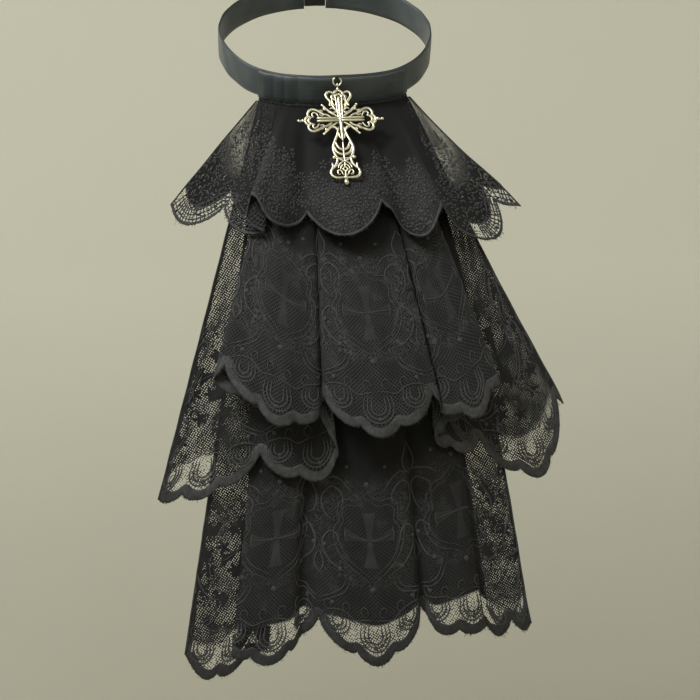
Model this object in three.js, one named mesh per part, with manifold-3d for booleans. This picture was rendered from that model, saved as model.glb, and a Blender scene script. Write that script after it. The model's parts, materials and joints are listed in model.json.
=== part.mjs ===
// A three-tier lace jabot on a ribbon neck strap, with a cast cross pendant.
// Millimetres, +Z up, the front faces -Y. The origin is the middle of the neck loop.
import * as THREE from "three";
import { mergeVertices } from "three/addons/utils/BufferGeometryUtils.js";
import Module from "manifold-3d";

const wasm = await Module();
wasm.setup();

// Neck strap and front band
const neckRadius = 58;
const neckTilt = THREE.MathUtils.degToRad(36);
const ribbonWidth = 16;
const ribbonThickness = 1;
const loopDip = 2.5;
const bandWidth = 78;
const bandThickness = 2;
const bandLapWidth = 12;
const bandLapThickness = 0.4;
const edgeRound = 0.5;
const claspLength = 12;
const claspWidth = 13;
const claspThickness = 2.4;
const seamGap = 0.3;

// Lace tiers
const laceWall = 1;
const tierPitch = 2.2;
const chestReach = 58;
const chestFall = 90;
const chestRadius = 420;
const neckBlend = 40;
const topLength = 53;
const topHalfWidth = 92;
const topFoldDepth = 15;
const topScallopPitch = 40;
const topScallopDepth = 13;
const topWingBow = -4;
const topLobeDepth = 0.8;
const topLobesPerScallop = 1;
const middleLength = 181;
const middleHalfWidth = 107;
const middleFoldDepth = 22;
const middleWingBow = -5;
const bottomLength = 268;
const bottomHalfWidth = 92;
const bottomFoldDepth = 9;
const bottomWingBow = 6;
const scallopPitch = 58;
const scallopDepth = 14;
const lobeDepth = 4;
const lobesPerScallop = 3;
const scallopFullness = 0.8;
const lobeFullness = 0.6;

// Ring, stitch and cross
const ringHole = 3.4;
const ringWire = 0.9;
const stitchWire = 0.5;
const eyeWire = 0.8;
const linkClearance = 0.3;
const crossHalfSpan = 22.6;
const crossDrop = 39.5;
const crossHang = 21.4;
const scrollWire = 1.05;
const barThickness = 1.6;
const barHeight = 3;
const ridgeThickness = 2.4;
const ridgeShare = 0.35;
const spikeBead = 0.75;
const armBead = 0.95;
const sideBead = 1;
const endBead = 1.25;
const endBeadStretch = 1.4;
const swingShare = 0.8;

// Fineness of the shapes
const topColumns = 84;
const topRows = 4;
const middleColumns = 98;
const middleRows = 6;
const bottomColumns = 84;
const bottomRows = 6;
const samplesPerFold = 12;
const strapSteps = 60;
const bandSteps = 20;
const claspSteps = 2;
const wireSides = 4;
const beadSides = 8;
const ringSides = 6;
const ringSteps = 20;
const stitchSteps = 14;
const eyeSteps = 12;
const mergeDistance = 1e-4;

// One row for each fold of a tier, from the left wing to the right one as seen from the front.
// head: place along the band, as a share of half its width
// hem: place across at the hem, as a share of the tier's half width
// fold: how far the hem stands forward, as a share of the tier's fold depth
// drop: length from band to hem, as a share of the tier's length
const foldColumns = ["head", "hem", "fold", "drop"];
const topFolds = [
  [-1.0, -0.84, 0.1, 0.66],
  [-0.92, -0.78, 0.1, 0.92],
  [-0.8, -0.62, 0.36, 1.0],
  [-0.7, -0.44, 0.66, 1.0],
  [-0.72, -0.54, 0.84, 0.97],
  [-0.62, -0.47, 1.06, 0.74],
  [-0.52, -0.38, 1.0, 0.92],
  [-0.4, -0.27, 0.57, 1.08],
  [-0.28, -0.18, 0.81, 1.08],
  [-0.06, -0.02, 1.0, 1.08],
  [0.16, 0.13, 0.95, 1.04],
  [0.3, 0.23, 0.81, 0.98],
  [0.38, 0.29, 0.57, 1.08],
  [0.48, 0.38, 0.86, 1.1],
  [0.6, 0.48, 1.0, 0.97],
  [0.7, 0.54, 0.71, 1.06],
  [0.74, 0.59, 0.48, 1.13],
  [0.82, 0.7, 0.24, 1.13],
  [0.92, 0.83, 0.1, 1.12],
  [1.0, 0.9, 0.1, 0.84],
];
const topMiddleFold = 9;
const middleFolds = [
  [-1.0, -0.94, 0.07, 1.07],
  [-0.93, -0.79, 0.07, 1.02],
  [-0.8, -0.5, 0.33, 0.99],
  [-0.66, -0.2, 0.41, 0.97],
  [-0.6, -0.14, 0.5, 0.9],
  [-0.66, -0.4, 0.6, 0.78],
  [-0.72, -0.62, 0.63, 0.74],
  [-0.74, -0.64, 0.78, 0.74],
  [-0.64, -0.52, 0.89, 0.76],
  [-0.5, -0.36, 0.93, 0.82],
  [-0.38, -0.22, 0.81, 0.84],
  [-0.34, -0.18, 0.59, 0.83],
  [-0.3, -0.16, 0.81, 0.83],
  [-0.15, -0.04, 0.96, 0.85],
  [0.0, 0.07, 1.0, 0.86],
  [0.22, 0.24, 0.93, 0.85],
  [0.36, 0.35, 0.81, 0.84],
  [0.4, 0.36, 0.56, 0.84],
  [0.45, 0.4, 0.78, 0.83],
  [0.6, 0.51, 0.81, 0.82],
  [0.72, 0.6, 0.74, 0.76],
  [0.78, 0.62, 0.56, 0.77],
  [0.72, 0.46, 0.43, 0.84],
  [0.68, 0.34, 0.33, 0.88],
  [0.76, 0.54, 0.26, 0.97],
  [0.86, 0.73, 0.15, 1.0],
  [0.94, 0.87, 0.07, 0.98],
  [1.0, 0.985, 0.07, 0.86],
];
const middleMiddleFold = 14;
const bottomFolds = [
  [-1.0, -1.0, 0.0, 1.03],
  [-0.9, -0.86, 0.1, 1.04],
  [-0.75, -0.67, 0.2, 1.0],
  [-0.65, -0.54, 0.4, 0.99],
  [-0.7, -0.66, 0.65, 1.0],
  [-0.75, -0.74, 0.9, 1.0],
  [-0.6, -0.6, 1.0, 1.0],
  [-0.42, -0.43, 0.9, 0.99],
  [-0.36, -0.36, 0.4, 0.97],
  [-0.3, -0.29, 0.8, 0.98],
  [-0.18, -0.17, 1.0, 0.99],
  [0.0, 0.02, 1.0, 1.01],
  [0.15, 0.15, 0.9, 1.0],
  [0.28, 0.26, 0.8, 0.98],
  [0.34, 0.3, 0.35, 0.97],
  [0.4, 0.37, 0.8, 0.98],
  [0.55, 0.49, 0.9, 0.97],
  [0.68, 0.61, 0.6, 0.96],
  [0.74, 0.63, 0.3, 0.97],
  [0.82, 0.72, 0.2, 1.0],
  [0.92, 0.83, 0.1, 1.01],
  [1.0, 0.89, 0.0, 0.97],
];
const bottomMiddleFold = 11;

// Wires of the right half of the cross, each a smooth line through its points.
// across: share of the half span, from the upright's middle
// along: share of the drop, from the crossing of the bars, up being positive
const crossWires = {
  heart: [
    [0.05, 0.13], [0.11, 0.173], [0.2, 0.288], [0.288, 0.373],
    [0.261, 0.429], [0.186, 0.443], [0.08, 0.4],
  ],
  heartCurl: [[0.08, 0.31], [0.145, 0.336], [0.155, 0.371], [0.1, 0.39]],
  heartSpur: [[0.19, 0.28], [0.217, 0.22]],
  cap: [[0.0, 0.464], [0.053, 0.453], [0.12, 0.41]],
  capInner: [[0.0, 0.41], [0.07, 0.38], [0.075, 0.34]],
  spike: [[0.06, 0.05], [0.25, 0.14], [0.4, 0.237]],
  spikeHook: [[0.05, 0.15], [0.12, 0.12], [0.19, 0.118], [0.25, 0.145]],
  upperScroll: [
    [0.2, 0.03], [0.29, 0.077], [0.41, 0.104], [0.518, 0.152], [0.637, 0.176],
    [0.725, 0.141], [0.748, 0.085], [0.69, 0.05], [0.61, 0.065],
  ],
  upperSpur: [[0.51, 0.147], [0.39, 0.147]],
  lowerScroll: [
    [0.2, -0.03], [0.29, -0.077], [0.41, -0.104], [0.518, -0.14], [0.637, -0.166],
    [0.725, -0.144], [0.752, -0.09], [0.69, -0.05], [0.61, -0.06],
  ],
  lowerSpur: [[0.51, -0.137], [0.4, -0.117]],
  armEnd: [[0.735, 0.077], [0.796, 0.037], [0.814, 0.0], [0.796, -0.037], [0.735, -0.077]],
  armInner: [[0.68, 0.048], [0.725, 0.024], [0.734, 0.0], [0.725, -0.024], [0.68, -0.048]],
  armFinial: [[0.8, 0.0], [0.97, 0.0]],
  lowerSpike: [[0.06, -0.03], [0.23, -0.101], [0.41, -0.213]],
  neckHook: [[0.23, -0.105], [0.14, -0.112], [0.095, -0.155]],
  foot: [
    [0.06, -0.11], [0.11, -0.227], [0.172, -0.32], [0.23, -0.421],
    [0.217, -0.501], [0.155, -0.576], [0.0, -0.645],
  ],
  crescentUpper: [[0.165, -0.345], [0.106, -0.427], [0.0, -0.469]],
  crescentLower: [[0.215, -0.41], [0.15, -0.496], [0.0, -0.544]],
  beadArm: [[0.15, -0.57], [0.217, -0.579]],
  side: [[0.155, -0.576], [0.173, -0.656], [0.239, -0.72], [0.29, -0.75]],
  horn: [
    [0.283, -0.664], [0.274, -0.72], [0.327, -0.784], [0.32, -0.837],
    [0.248, -0.875], [0.124, -0.883], [0.0, -0.88],
  ],
  archOuter: [
    [0.0, -0.643], [0.08, -0.664], [0.133, -0.715], [0.159, -0.789],
    [0.11, -0.827], [0.053, -0.805], [0.07, -0.775],
  ],
  archInner: [[0.0, -0.68], [0.049, -0.693], [0.078, -0.735], [0.145, -0.76]],
  diamond: [[0.0, -0.71], [0.062, -0.749], [0.0, -0.789]],
};
// Stems along the middle line: along values of both ends
const crossStems = { foot: [-0.3, -0.66], bottom: [-0.66, -0.72], end: [-0.78, -0.95] };
// Beads: across and along as for the wires, radius, stretch along the upright
const crossBeads = [
  [0.4, 0.237, spikeBead, 1],
  [0.41, -0.213, spikeBead, 1],
  [0.865, 0, armBead, 1],
  [0.97, 0, spikeBead, 1],
  [0.217, -0.579, sideBead, 1],
  [0, -0.888, endBead, 1],
  [0, -0.96, endBead, endBeadStretch],
];
// Half outline of the upright, and the shares that its eye's stem and the cross bar reach
const uprightOutline = [[0.1, 0.36], [0.066, 0.21], [0.066, -0.2], [0.012, -0.35]];
const capTop = 0.45;
const armReach = 0.55;

const bandRadius = neckRadius + ribbonThickness + seamGap;
const bandHalfAngle = Math.asin(bandWidth / 2 / bandRadius);
const axisAcross = new THREE.Vector3(1, 0, 0);
const axisBack = new THREE.Vector3(0, Math.cos(neckTilt), Math.sin(neckTilt));
const axisAlong = new THREE.Vector3(0, -Math.sin(neckTilt), Math.cos(neckTilt));

// Point of the tilted neck loop: an angle from the front, a radius, a height along the neck.
function neckPoint(angle, radius, height) {
  const dip = -loopDip * Math.sin(Math.min(Math.abs(angle), Math.PI / 2) * 2) ** 2;
  return new THREE.Vector3()
    .addScaledVector(axisAcross, radius * Math.sin(angle))
    .addScaledVector(axisBack, -radius * Math.cos(angle))
    .addScaledVector(axisAlong, height + dip);
}

function asRows(columns, values) {
  return values.map((value) => Object.fromEntries(columns.map((name, i) => [name, value[i]])));
}

// Closed mesh from rings of points that follow each other, with flat ends.
function sweptSolid(rings) {
  const sides = rings[0].length;
  const positions = rings.flat().flatMap((point) => [point.x, point.y, point.z]);
  const faces = [];
  for (let i = 0; i < rings.length - 1; i += 1) {
    for (let k = 0; k < sides; k += 1) {
      const next = (k + 1) % sides;
      const a = i * sides + k;
      const b = i * sides + next;
      const c = (i + 1) * sides + next;
      const d = (i + 1) * sides + k;
      faces.push(a, c, b, a, d, c);
    }
  }
  const last = (rings.length - 1) * sides;
  for (let k = 1; k < sides - 1; k += 1) {
    faces.push(0, k, k + 1);
    faces.push(last, last + k + 1, last + k);
  }
  const geometry = new THREE.BufferGeometry();
  geometry.setAttribute("position", new THREE.Float32BufferAttribute(positions, 3));
  geometry.setIndex(faces);
  return geometry;
}

// Ribbon bent round the neck between two angles, its outer edges slightly rounded.
function bentRibbon(start, end, steps, radius, thicknessAt, width) {
  const rings = [];
  for (let i = 0; i <= steps; i += 1) {
    const angle = start + (end - start) * i / steps;
    const outer = radius + thicknessAt(angle);
    const half = width / 2;
    rings.push([
      neckPoint(angle, radius, -half),
      neckPoint(angle, outer - edgeRound, -half),
      neckPoint(angle, outer, -half + edgeRound),
      neckPoint(angle, outer, half - edgeRound),
      neckPoint(angle, outer - edgeRound, half),
      neckPoint(angle, radius, half),
    ]);
  }
  return sweptSolid(rings);
}

function neckStrap() {
  const halfClasp = (claspLength / 2 + seamGap) / neckRadius;
  return bentRibbon(
    -Math.PI + halfClasp, Math.PI - halfClasp, strapSteps, neckRadius, () => ribbonThickness, ribbonWidth,
  );
}

function backClasp() {
  const half = claspLength / 2 / neckRadius;
  return bentRibbon(
    Math.PI - half, Math.PI + half, claspSteps, neckRadius, () => claspThickness, claspWidth,
  );
}

// Folded panel, its left end as seen from the front lapped over once more
function frontBand() {
  const lapStart = Math.asin((bandLapWidth - bandWidth / 2) / bandRadius);
  const thickness = (angle) => bandThickness + (angle < lapStart ? bandLapThickness : 0);
  return bentRibbon(-bandHalfAngle, bandHalfAngle, bandSteps, bandRadius, thickness, ribbonWidth);
}

// Value between the rows of a table, on a smooth curve through them.
function smoothRow(rows, place) {
  const index = Math.min(Math.floor(place), rows.length - 2);
  const share = place - index;
  const row = {};
  for (const name of Object.keys(rows[0])) {
    const b = rows[index][name];
    const c = rows[index + 1][name];
    const a = index > 0 ? rows[index - 1][name] : 2 * b - c;
    const d = index < rows.length - 2 ? rows[index + 2][name] : 2 * c - b;
    const bend = (2 * a - 5 * b + 4 * c - d) * share + (3 * b - 3 * c + d - a) * share * share;
    row[name] = b + 0.5 * share * (c - a + bend);
  }
  return row;
}

// Point of a lace tier: straight from the band to the hem as seen from the front,
// forward over the chest by an exponential curve, and further forward by its fold.
function lacePoint(tier, row, share) {
  const headAngle = Math.asin(row.head * bandWidth / 2 / bandRadius);
  const headRadius = neckRadius + tier.layer * tierPitch;
  const below = -ribbonWidth / 2 - seamGap - laceWall;
  const head = neckPoint(headAngle, headRadius, below);
  const middle = neckPoint(0, headRadius, below);
  const hemHeight = middle.z - row.drop * tier.length;
  const bow = tier.wingBow * Math.max(row.hem, 0) ** 3 * Math.sin(Math.PI * Math.min(share, 1));
  const x = THREE.MathUtils.lerp(head.x, row.hem * tier.halfWidth, share) + bow;
  const z = THREE.MathUtils.lerp(head.z, hemHeight, share);
  const fall = Math.max(neckPoint(headAngle, neckRadius, below).z - z, 0);
  const chest = chestReach * (1 - Math.exp(-fall / chestFall));
  const nearNeck = Math.exp(-fall / neckBlend);
  const neckSide = (head.y - middle.y) * nearNeck;
  const chestSide = x * x / (2 * chestRadius) * (1 - nearNeck);
  const forward = chest + row.fold * tier.foldDepth * share;
  return new THREE.Vector3(x, middle.y - forward + neckSide + chestSide, z);
}

// Length added below the straight hem at a place along the lace: one deep scallop
// for each pitch, edged with small round lobes.
function scallopAt(tier, along) {
  const phase = along / tier.pitch + 1 / 2;
  const inPitch = phase - Math.floor(phase);
  const deep = Math.sin(Math.PI * inPitch) ** scallopFullness;
  const lobes = Math.abs(Math.sin(Math.PI * tier.lobes * inPitch)) ** lobeFullness;
  return tier.scallopDepth * deep + tier.lobeDepth * lobes;
}

// Middle surface of a tier, as a grid of columns that are evenly spaced along the hem.
function laceGrid(tier) {
  const rows = asRows(foldColumns, tier.folds);
  const places = [];
  const lengths = [];
  let previous = null;
  let length = 0;
  for (let i = 0; i <= (rows.length - 1) * samplesPerFold; i += 1) {
    const place = i / samplesPerFold;
    const point = lacePoint(tier, smoothRow(rows, place), 1);
    length += previous ? point.distanceTo(previous) : 0;
    previous = point;
    places.push(place);
    lengths.push(length);
  }
  const middleLengthAlong = lengths[tier.middleFold * samplesPerFold];
  const grid = [];
  let sample = 1;
  for (let i = 0; i <= tier.columns; i += 1) {
    const along = length * i / tier.columns;
    while (sample < lengths.length - 1 && lengths[sample] < along) {
      sample += 1;
    }
    const step = lengths[sample] - lengths[sample - 1];
    const place = places[sample - 1] + (along - lengths[sample - 1]) / step / samplesPerFold;
    const row = smoothRow(rows, Math.min(place, rows.length - 1));
    const end = 1 + scallopAt(tier, along - middleLengthAlong) / (row.drop * tier.length);
    const column = [];
    for (let j = 0; j <= tier.rows; j += 1) {
      column.push(lacePoint(tier, row, end * j / tier.rows));
    }
    grid.push(column);
  }
  return grid;
}

// Closed wall around a grid, half its thickness to each side.
function wallAround(grid, thickness) {
  const columns = grid.length;
  const rows = grid[0].length;
  const front = [];
  const back = [];
  for (let i = 0; i < columns; i += 1) {
    for (let j = 0; j < rows; j += 1) {
      const before = grid[Math.max(i - 1, 0)][j];
      const after = grid[Math.min(i + 1, columns - 1)][j];
      const above = grid[i][Math.max(j - 1, 0)];
      const below = grid[i][Math.min(j + 1, rows - 1)];
      const across = after.clone().sub(before);
      const down = below.clone().sub(above);
      const normal = down.cross(across).normalize();
      front.push(grid[i][j].clone().addScaledVector(normal, thickness / 2));
      back.push(grid[i][j].clone().addScaledVector(normal, -thickness / 2));
    }
  }
  const points = [...front, ...back];
  const faces = [];
  const quad = (a, b, c, d) => faces.push(a, b, c, a, c, d);
  const at = (i, j) => i * rows + j;
  const behind = (i, j) => front.length + i * rows + j;
  for (let i = 0; i < columns - 1; i += 1) {
    for (let j = 0; j < rows - 1; j += 1) {
      quad(at(i, j), at(i, j + 1), at(i + 1, j + 1), at(i + 1, j));
      quad(behind(i, j), behind(i + 1, j), behind(i + 1, j + 1), behind(i, j + 1));
    }
    quad(at(i, 0), at(i + 1, 0), behind(i + 1, 0), behind(i, 0));
    quad(at(i, rows - 1), behind(i, rows - 1), behind(i + 1, rows - 1), at(i + 1, rows - 1));
  }
  for (let j = 0; j < rows - 1; j += 1) {
    quad(at(0, j), behind(0, j), behind(0, j + 1), at(0, j + 1));
    quad(at(columns - 1, j), at(columns - 1, j + 1), behind(columns - 1, j + 1), behind(columns - 1, j));
  }
  const geometry = new THREE.BufferGeometry();
  const positions = points.flatMap((point) => [point.x, point.y, point.z]);
  geometry.setAttribute("position", new THREE.Float32BufferAttribute(positions, 3));
  geometry.setIndex(faces);
  return geometry;
}

const topTier = {
  folds: topFolds, middleFold: topMiddleFold, layer: 2, length: topLength, halfWidth: topHalfWidth,
  foldDepth: topFoldDepth, wingBow: topWingBow, pitch: topScallopPitch, scallopDepth: topScallopDepth,
  lobeDepth: topLobeDepth, lobes: topLobesPerScallop, columns: topColumns, rows: topRows,
};
const middleTier = {
  folds: middleFolds, middleFold: middleMiddleFold, layer: 1, length: middleLength,
  halfWidth: middleHalfWidth, foldDepth: middleFoldDepth, wingBow: middleWingBow,
  pitch: scallopPitch, scallopDepth, lobeDepth, lobes: lobesPerScallop,
  columns: middleColumns, rows: middleRows,
};
const bottomTier = {
  folds: bottomFolds, middleFold: bottomMiddleFold, layer: 0, length: bottomLength,
  halfWidth: bottomHalfWidth, foldDepth: bottomFoldDepth, wingBow: bottomWingBow,
  pitch: scallopPitch, scallopDepth, lobeDepth, lobes: lobesPerScallop,
  columns: bottomColumns, rows: bottomRows,
};
const topGrid = laceGrid(topTier);

// Solid for joining, from a closed mesh
function solidOf(geometry) {
  geometry.deleteAttribute("normal");
  geometry.deleteAttribute("uv");
  const merged = mergeVertices(geometry, mergeDistance);
  return new wasm.Manifold(new wasm.Mesh({
    numProp: 3,
    vertProperties: new Float32Array(merged.attributes.position.array),
    triVerts: new Uint32Array(merged.index.array),
  }));
}

function geometryOf(solid) {
  const mesh = solid.getMesh();
  const geometry = new THREE.BufferGeometry();
  geometry.setAttribute("position", new THREE.BufferAttribute(new Float32Array(mesh.vertProperties), 3));
  geometry.setIndex(new THREE.BufferAttribute(new Uint32Array(mesh.triVerts), 1));
  return geometry;
}

// Wire through points of the cross's own plane, of the scrolls' thickness
function wireSolid(points) {
  const corners = [];
  for (let k = 0; k < wireSides; k += 1) {
    const angle = 2 * Math.PI * k / wireSides;
    corners.push(new THREE.Vector2(Math.cos(angle), Math.sin(angle)).multiplyScalar(scrollWire / 2));
  }
  const extrudePath = new THREE.CatmullRomCurve3(points, false, "centripetal");
  const settings = { steps: points.length - 1, extrudePath, bevelEnabled: false };
  return solidOf(new THREE.ExtrudeGeometry(new THREE.Shape(corners), settings));
}

function beadSolid(point, radius, stretch) {
  const geometry = new THREE.SphereGeometry(radius, beadSides, beadSides / 2);
  geometry.rotateX(Math.PI / 2);
  geometry.scale(1, 1, stretch);
  geometry.translate(point.x, point.y, point.z);
  return solidOf(geometry);
}

function crossPoint(across, along) {
  return new THREE.Vector3(across * crossHalfSpan, 0, along * crossDrop - crossHang);
}

// Flat bar of the cross from its half outline
function barSolid(outline, thickness) {
  const right = outline.map(
    ([across, along]) => new THREE.Vector2(across * crossHalfSpan, along * crossDrop),
  );
  const left = right.map((point) => new THREE.Vector2(-point.x, point.y)).reverse();
  const shape = new THREE.Shape([...right, ...left]);
  const geometry = new THREE.ExtrudeGeometry(shape, { depth: thickness, bevelEnabled: false });
  geometry.translate(0, -crossHang, -thickness / 2);
  geometry.rotateX(Math.PI / 2);
  return solidOf(geometry);
}

function ringGeometry(hole, wire, segments) {
  return new THREE.TorusGeometry((hole + wire) / 2, wire / 2, ringSides, segments);
}

// Cast cross in its own plane, its eye's middle at its local origin.
function crossPendant() {
  const parts = [];
  for (const side of [1, -1]) {
    for (const points of Object.values(crossWires)) {
      parts.push(wireSolid(points.map(([across, along]) => crossPoint(side * across, along))));
    }
    for (const [across, along, radius, stretch] of crossBeads) {
      parts.push(beadSolid(crossPoint(side * across, along), radius, stretch));
    }
  }
  for (const ends of Object.values(crossStems)) {
    parts.push(wireSolid(ends.map((along) => crossPoint(0, along))));
  }
  const armHeight = barHeight / 2 / crossDrop;
  const arms = [[armReach, armHeight], [armReach, -armHeight]];
  const ridge = uprightOutline.map(([across, along]) => [across * ridgeShare, along]);
  const armRidge = arms.map(([across, along]) => [across, along * ridgeShare]);
  parts.push(barSolid(uprightOutline, barThickness), barSolid(ridge, ridgeThickness));
  parts.push(barSolid(arms, barThickness), barSolid(armRidge, ridgeThickness));
  const eyeRadius = (ringWire + eyeWire) / 2 + linkClearance;
  parts.push(wireSolid([new THREE.Vector3(0, 0, -eyeRadius), crossPoint(0, capTop)]));
  const eye = ringGeometry(2 * eyeRadius - eyeWire, eyeWire, eyeSteps);
  eye.rotateY(Math.PI / 2);
  parts.push(solidOf(eye));
  return geometryOf(parts.reduce((whole, part) => whole.add(part)));
}

// The stitch stands clear of the band's upper edge, the ring hangs in it, the cross in the ring.
const bandEdge = neckPoint(0, bandRadius + bandThickness, ribbonWidth / 2);
const stitchHole = ringWire + 2 * linkClearance;
const stitchReach = stitchHole / 2 + stitchWire;
const stitchPoint = bandEdge.clone().add(new THREE.Vector3(0, -stitchReach - seamGap, 0));
const ringDrop = (ringHole + ringWire) / 2;
const eyePoint = stitchPoint.clone().add(new THREE.Vector3(0, 0, -2 * ringDrop));

// The smallest lean at which the cross lies on the top tier, over the share of its span
// that can meet a fold.
function crossLean() {
  const reach = crossHang + crossDrop;
  const sweep = crossHalfSpan * swingShare;
  const clearance = Math.max(ridgeThickness / 2, endBead) + laceWall + seamGap;
  let lean = 0;
  for (const point of topGrid.flat()) {
    const back = eyePoint.y - point.y;
    const down = eyePoint.z - point.z;
    const distance = Math.hypot(back, down);
    if (Math.abs(point.x) < sweep && down > 0 && distance < reach + laceWall) {
      lean = Math.max(lean, Math.atan2(back, down) + Math.asin(clearance / distance));
    }
  }
  return lean;
}

const blackSatin = new THREE.MeshStandardMaterial({ color: 0x1b1d1f, roughness: 0.45, metalness: 0 });
const blackLace = new THREE.MeshStandardMaterial({ color: 0x101011, roughness: 0.9, metalness: 0 });
const blackPlastic = new THREE.MeshStandardMaterial({ color: 0x0c0c0d, roughness: 0.4, metalness: 0 });
const antiqueGold = new THREE.MeshStandardMaterial({ color: 0x9c8f5a, roughness: 0.35, metalness: 1 });

const jabot = new THREE.Group();

function addPiece(name, geometry, material, parent = jabot) {
  const mesh = new THREE.Mesh(geometry, material);
  mesh.name = name;
  parent.add(mesh);
  return mesh;
}

addPiece("neck_strap", neckStrap(), blackSatin);
addPiece("back_clasp", backClasp(), blackPlastic);
addPiece("front_band", frontBand(), blackSatin);
addPiece("top_ruffle", wallAround(topGrid, laceWall), blackLace);
addPiece("middle_ruffle", wallAround(laceGrid(middleTier), laceWall), blackLace);
addPiece("bottom_ruffle", wallAround(laceGrid(bottomTier), laceWall), blackLace);

const stitch = addPiece("ring_stitch", ringGeometry(stitchHole, stitchWire, stitchSteps), blackLace);
stitch.rotation.y = Math.PI / 2;
stitch.position.copy(stitchPoint);

const ring = addPiece("jump_ring", ringGeometry(ringHole, ringWire, ringSteps), antiqueGold);
ring.rotation.x = Math.PI / 2;
ring.position.copy(stitchPoint).add(new THREE.Vector3(0, 0, -ringDrop));

const cross = addPiece("cross_pendant", crossPendant(), antiqueGold);
cross.rotation.x = -crossLean();
cross.position.copy(eyePoint);

export default jabot;
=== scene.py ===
# Blender scene of a three-tier lace jabot on a ribbon neck strap, with a cast cross pendant.
# Shapes are worked out in millimetres, and become metres when a mesh is made.
import json
import math

import bpy
import mathutils
import numpy as np
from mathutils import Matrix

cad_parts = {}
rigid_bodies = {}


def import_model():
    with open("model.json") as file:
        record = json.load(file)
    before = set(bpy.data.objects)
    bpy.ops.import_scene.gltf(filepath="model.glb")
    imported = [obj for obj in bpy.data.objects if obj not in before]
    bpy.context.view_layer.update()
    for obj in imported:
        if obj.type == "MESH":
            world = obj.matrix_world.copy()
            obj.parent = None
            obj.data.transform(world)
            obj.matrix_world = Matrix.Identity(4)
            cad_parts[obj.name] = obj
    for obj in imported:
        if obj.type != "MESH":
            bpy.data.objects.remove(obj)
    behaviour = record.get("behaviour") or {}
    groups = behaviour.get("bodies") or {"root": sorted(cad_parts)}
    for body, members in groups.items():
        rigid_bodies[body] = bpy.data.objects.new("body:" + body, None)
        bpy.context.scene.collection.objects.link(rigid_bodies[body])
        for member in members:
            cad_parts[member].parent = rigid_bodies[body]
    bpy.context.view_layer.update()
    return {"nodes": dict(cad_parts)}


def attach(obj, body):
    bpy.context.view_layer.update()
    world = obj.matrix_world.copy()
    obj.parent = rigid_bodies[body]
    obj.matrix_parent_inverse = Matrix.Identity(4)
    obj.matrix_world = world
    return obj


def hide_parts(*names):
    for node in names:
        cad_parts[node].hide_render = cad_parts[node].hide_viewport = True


for spare in list(bpy.data.objects):
    bpy.data.objects.remove(spare)
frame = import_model()
chance = np.random.default_rng(11)

# Camera, set from the photograph's frame of 700 x 700

view = {
    "place": (-0.0980, -0.9945, -0.1726),
    "turn": 6.0,       # degrees to the right of straight ahead
    "roll": 2.5,       # degrees, the object leans to the right in the picture
    "lens": 92.57,
    "sensor": 36.0,
}


def addObject(name, data, axes=None):
    # axes: right, up, back and place, the columns of its matrix
    made = bpy.data.objects.new(name, data)
    bpy.context.scene.collection.objects.link(made)
    if axes is not None:
        matrix = np.eye(4)
        matrix[:3] = np.stack(axes, axis=-1)
        made.matrix_world = mathutils.Matrix(matrix.tolist())
    return made


def placeCamera():
    # turned right of straight ahead by the first angle, its up axis leaning right by the second
    data = bpy.data.cameras.new("photoCamera")
    data.lens = view["lens"]
    data.sensor_width = view["sensor"]
    turn, roll = math.radians(view["turn"]), math.radians(view["roll"])
    ahead = np.array([math.sin(turn), math.cos(turn), 0.0])
    right = np.array([math.cos(turn), -math.sin(turn), 0.0])
    up = np.array([0.0, 0.0, 1.0])
    cameraRight = math.cos(roll) * right - math.sin(roll) * up
    cameraUp = math.cos(roll) * up + math.sin(roll) * right
    axes = (cameraRight, cameraUp, -ahead, view["place"])
    bpy.context.scene.camera = addObject("photoCamera", data, axes)


placeCamera()
print("camera placed")

# Meshes from grids of points


def gridFaces(across, down, closeDown=False):
    # quads between neighbours of a grid that is numbered row by row
    i, j = np.meshgrid(np.arange(across - 1), np.arange(down if closeDown else down - 1), indexing="ij")
    nextJ = (j + 1) % down
    quads = np.stack([i * down + j, i * down + nextJ, (i + 1) * down + nextJ, (i + 1) * down + j], axis=-1)
    return quads.reshape(-1, 4)


def capFaces(sides):
    # quads that fill one closed ring of an even number of points
    k = np.arange(1, sides - 2, 2)
    return np.stack([np.zeros_like(k), k, k + 1, k + 2], axis=-1)


def tubeFaces(steps, sides):
    # quads of a closed ring carried along a path, and of both its ends
    cap = capFaces(sides)
    return np.concatenate([gridFaces(steps, sides, closeDown=True), cap[:, ::-1], cap + (steps - 1) * sides])


def copies(quads, count, points):
    # the same faces for each of a number of shells with that many points
    return (np.arange(count)[:, None, None] * points + quads).reshape(-1, 4)


def together(*parts):
    # arrays of one shape after broadcasting, as the parts of one array of points
    return np.stack(np.broadcast_arrays(*parts), axis=-1)


def faceOutward(points, quads, uv):
    # turns a closed shell's faces round if its signed volume is negative: a . (b x c) / 6 summed over its faces
    corners = points.reshape(-1, 3)[quads] - points.reshape(-1, 3).mean(axis=0)
    a, b, c, d = (corners[:, k] for k in range(4))
    volume = np.sum(a * np.cross(b, c)) + np.sum(a * np.cross(c, d))
    return points, quads if volume > 0 else quads[:, ::-1], uv


def sweep(points, along, across):
    # shell of a closed section carried along a path, with its ends filled
    return faceOutward(points, tubeFaces(*points.shape[:2]), together(along, across))


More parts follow.
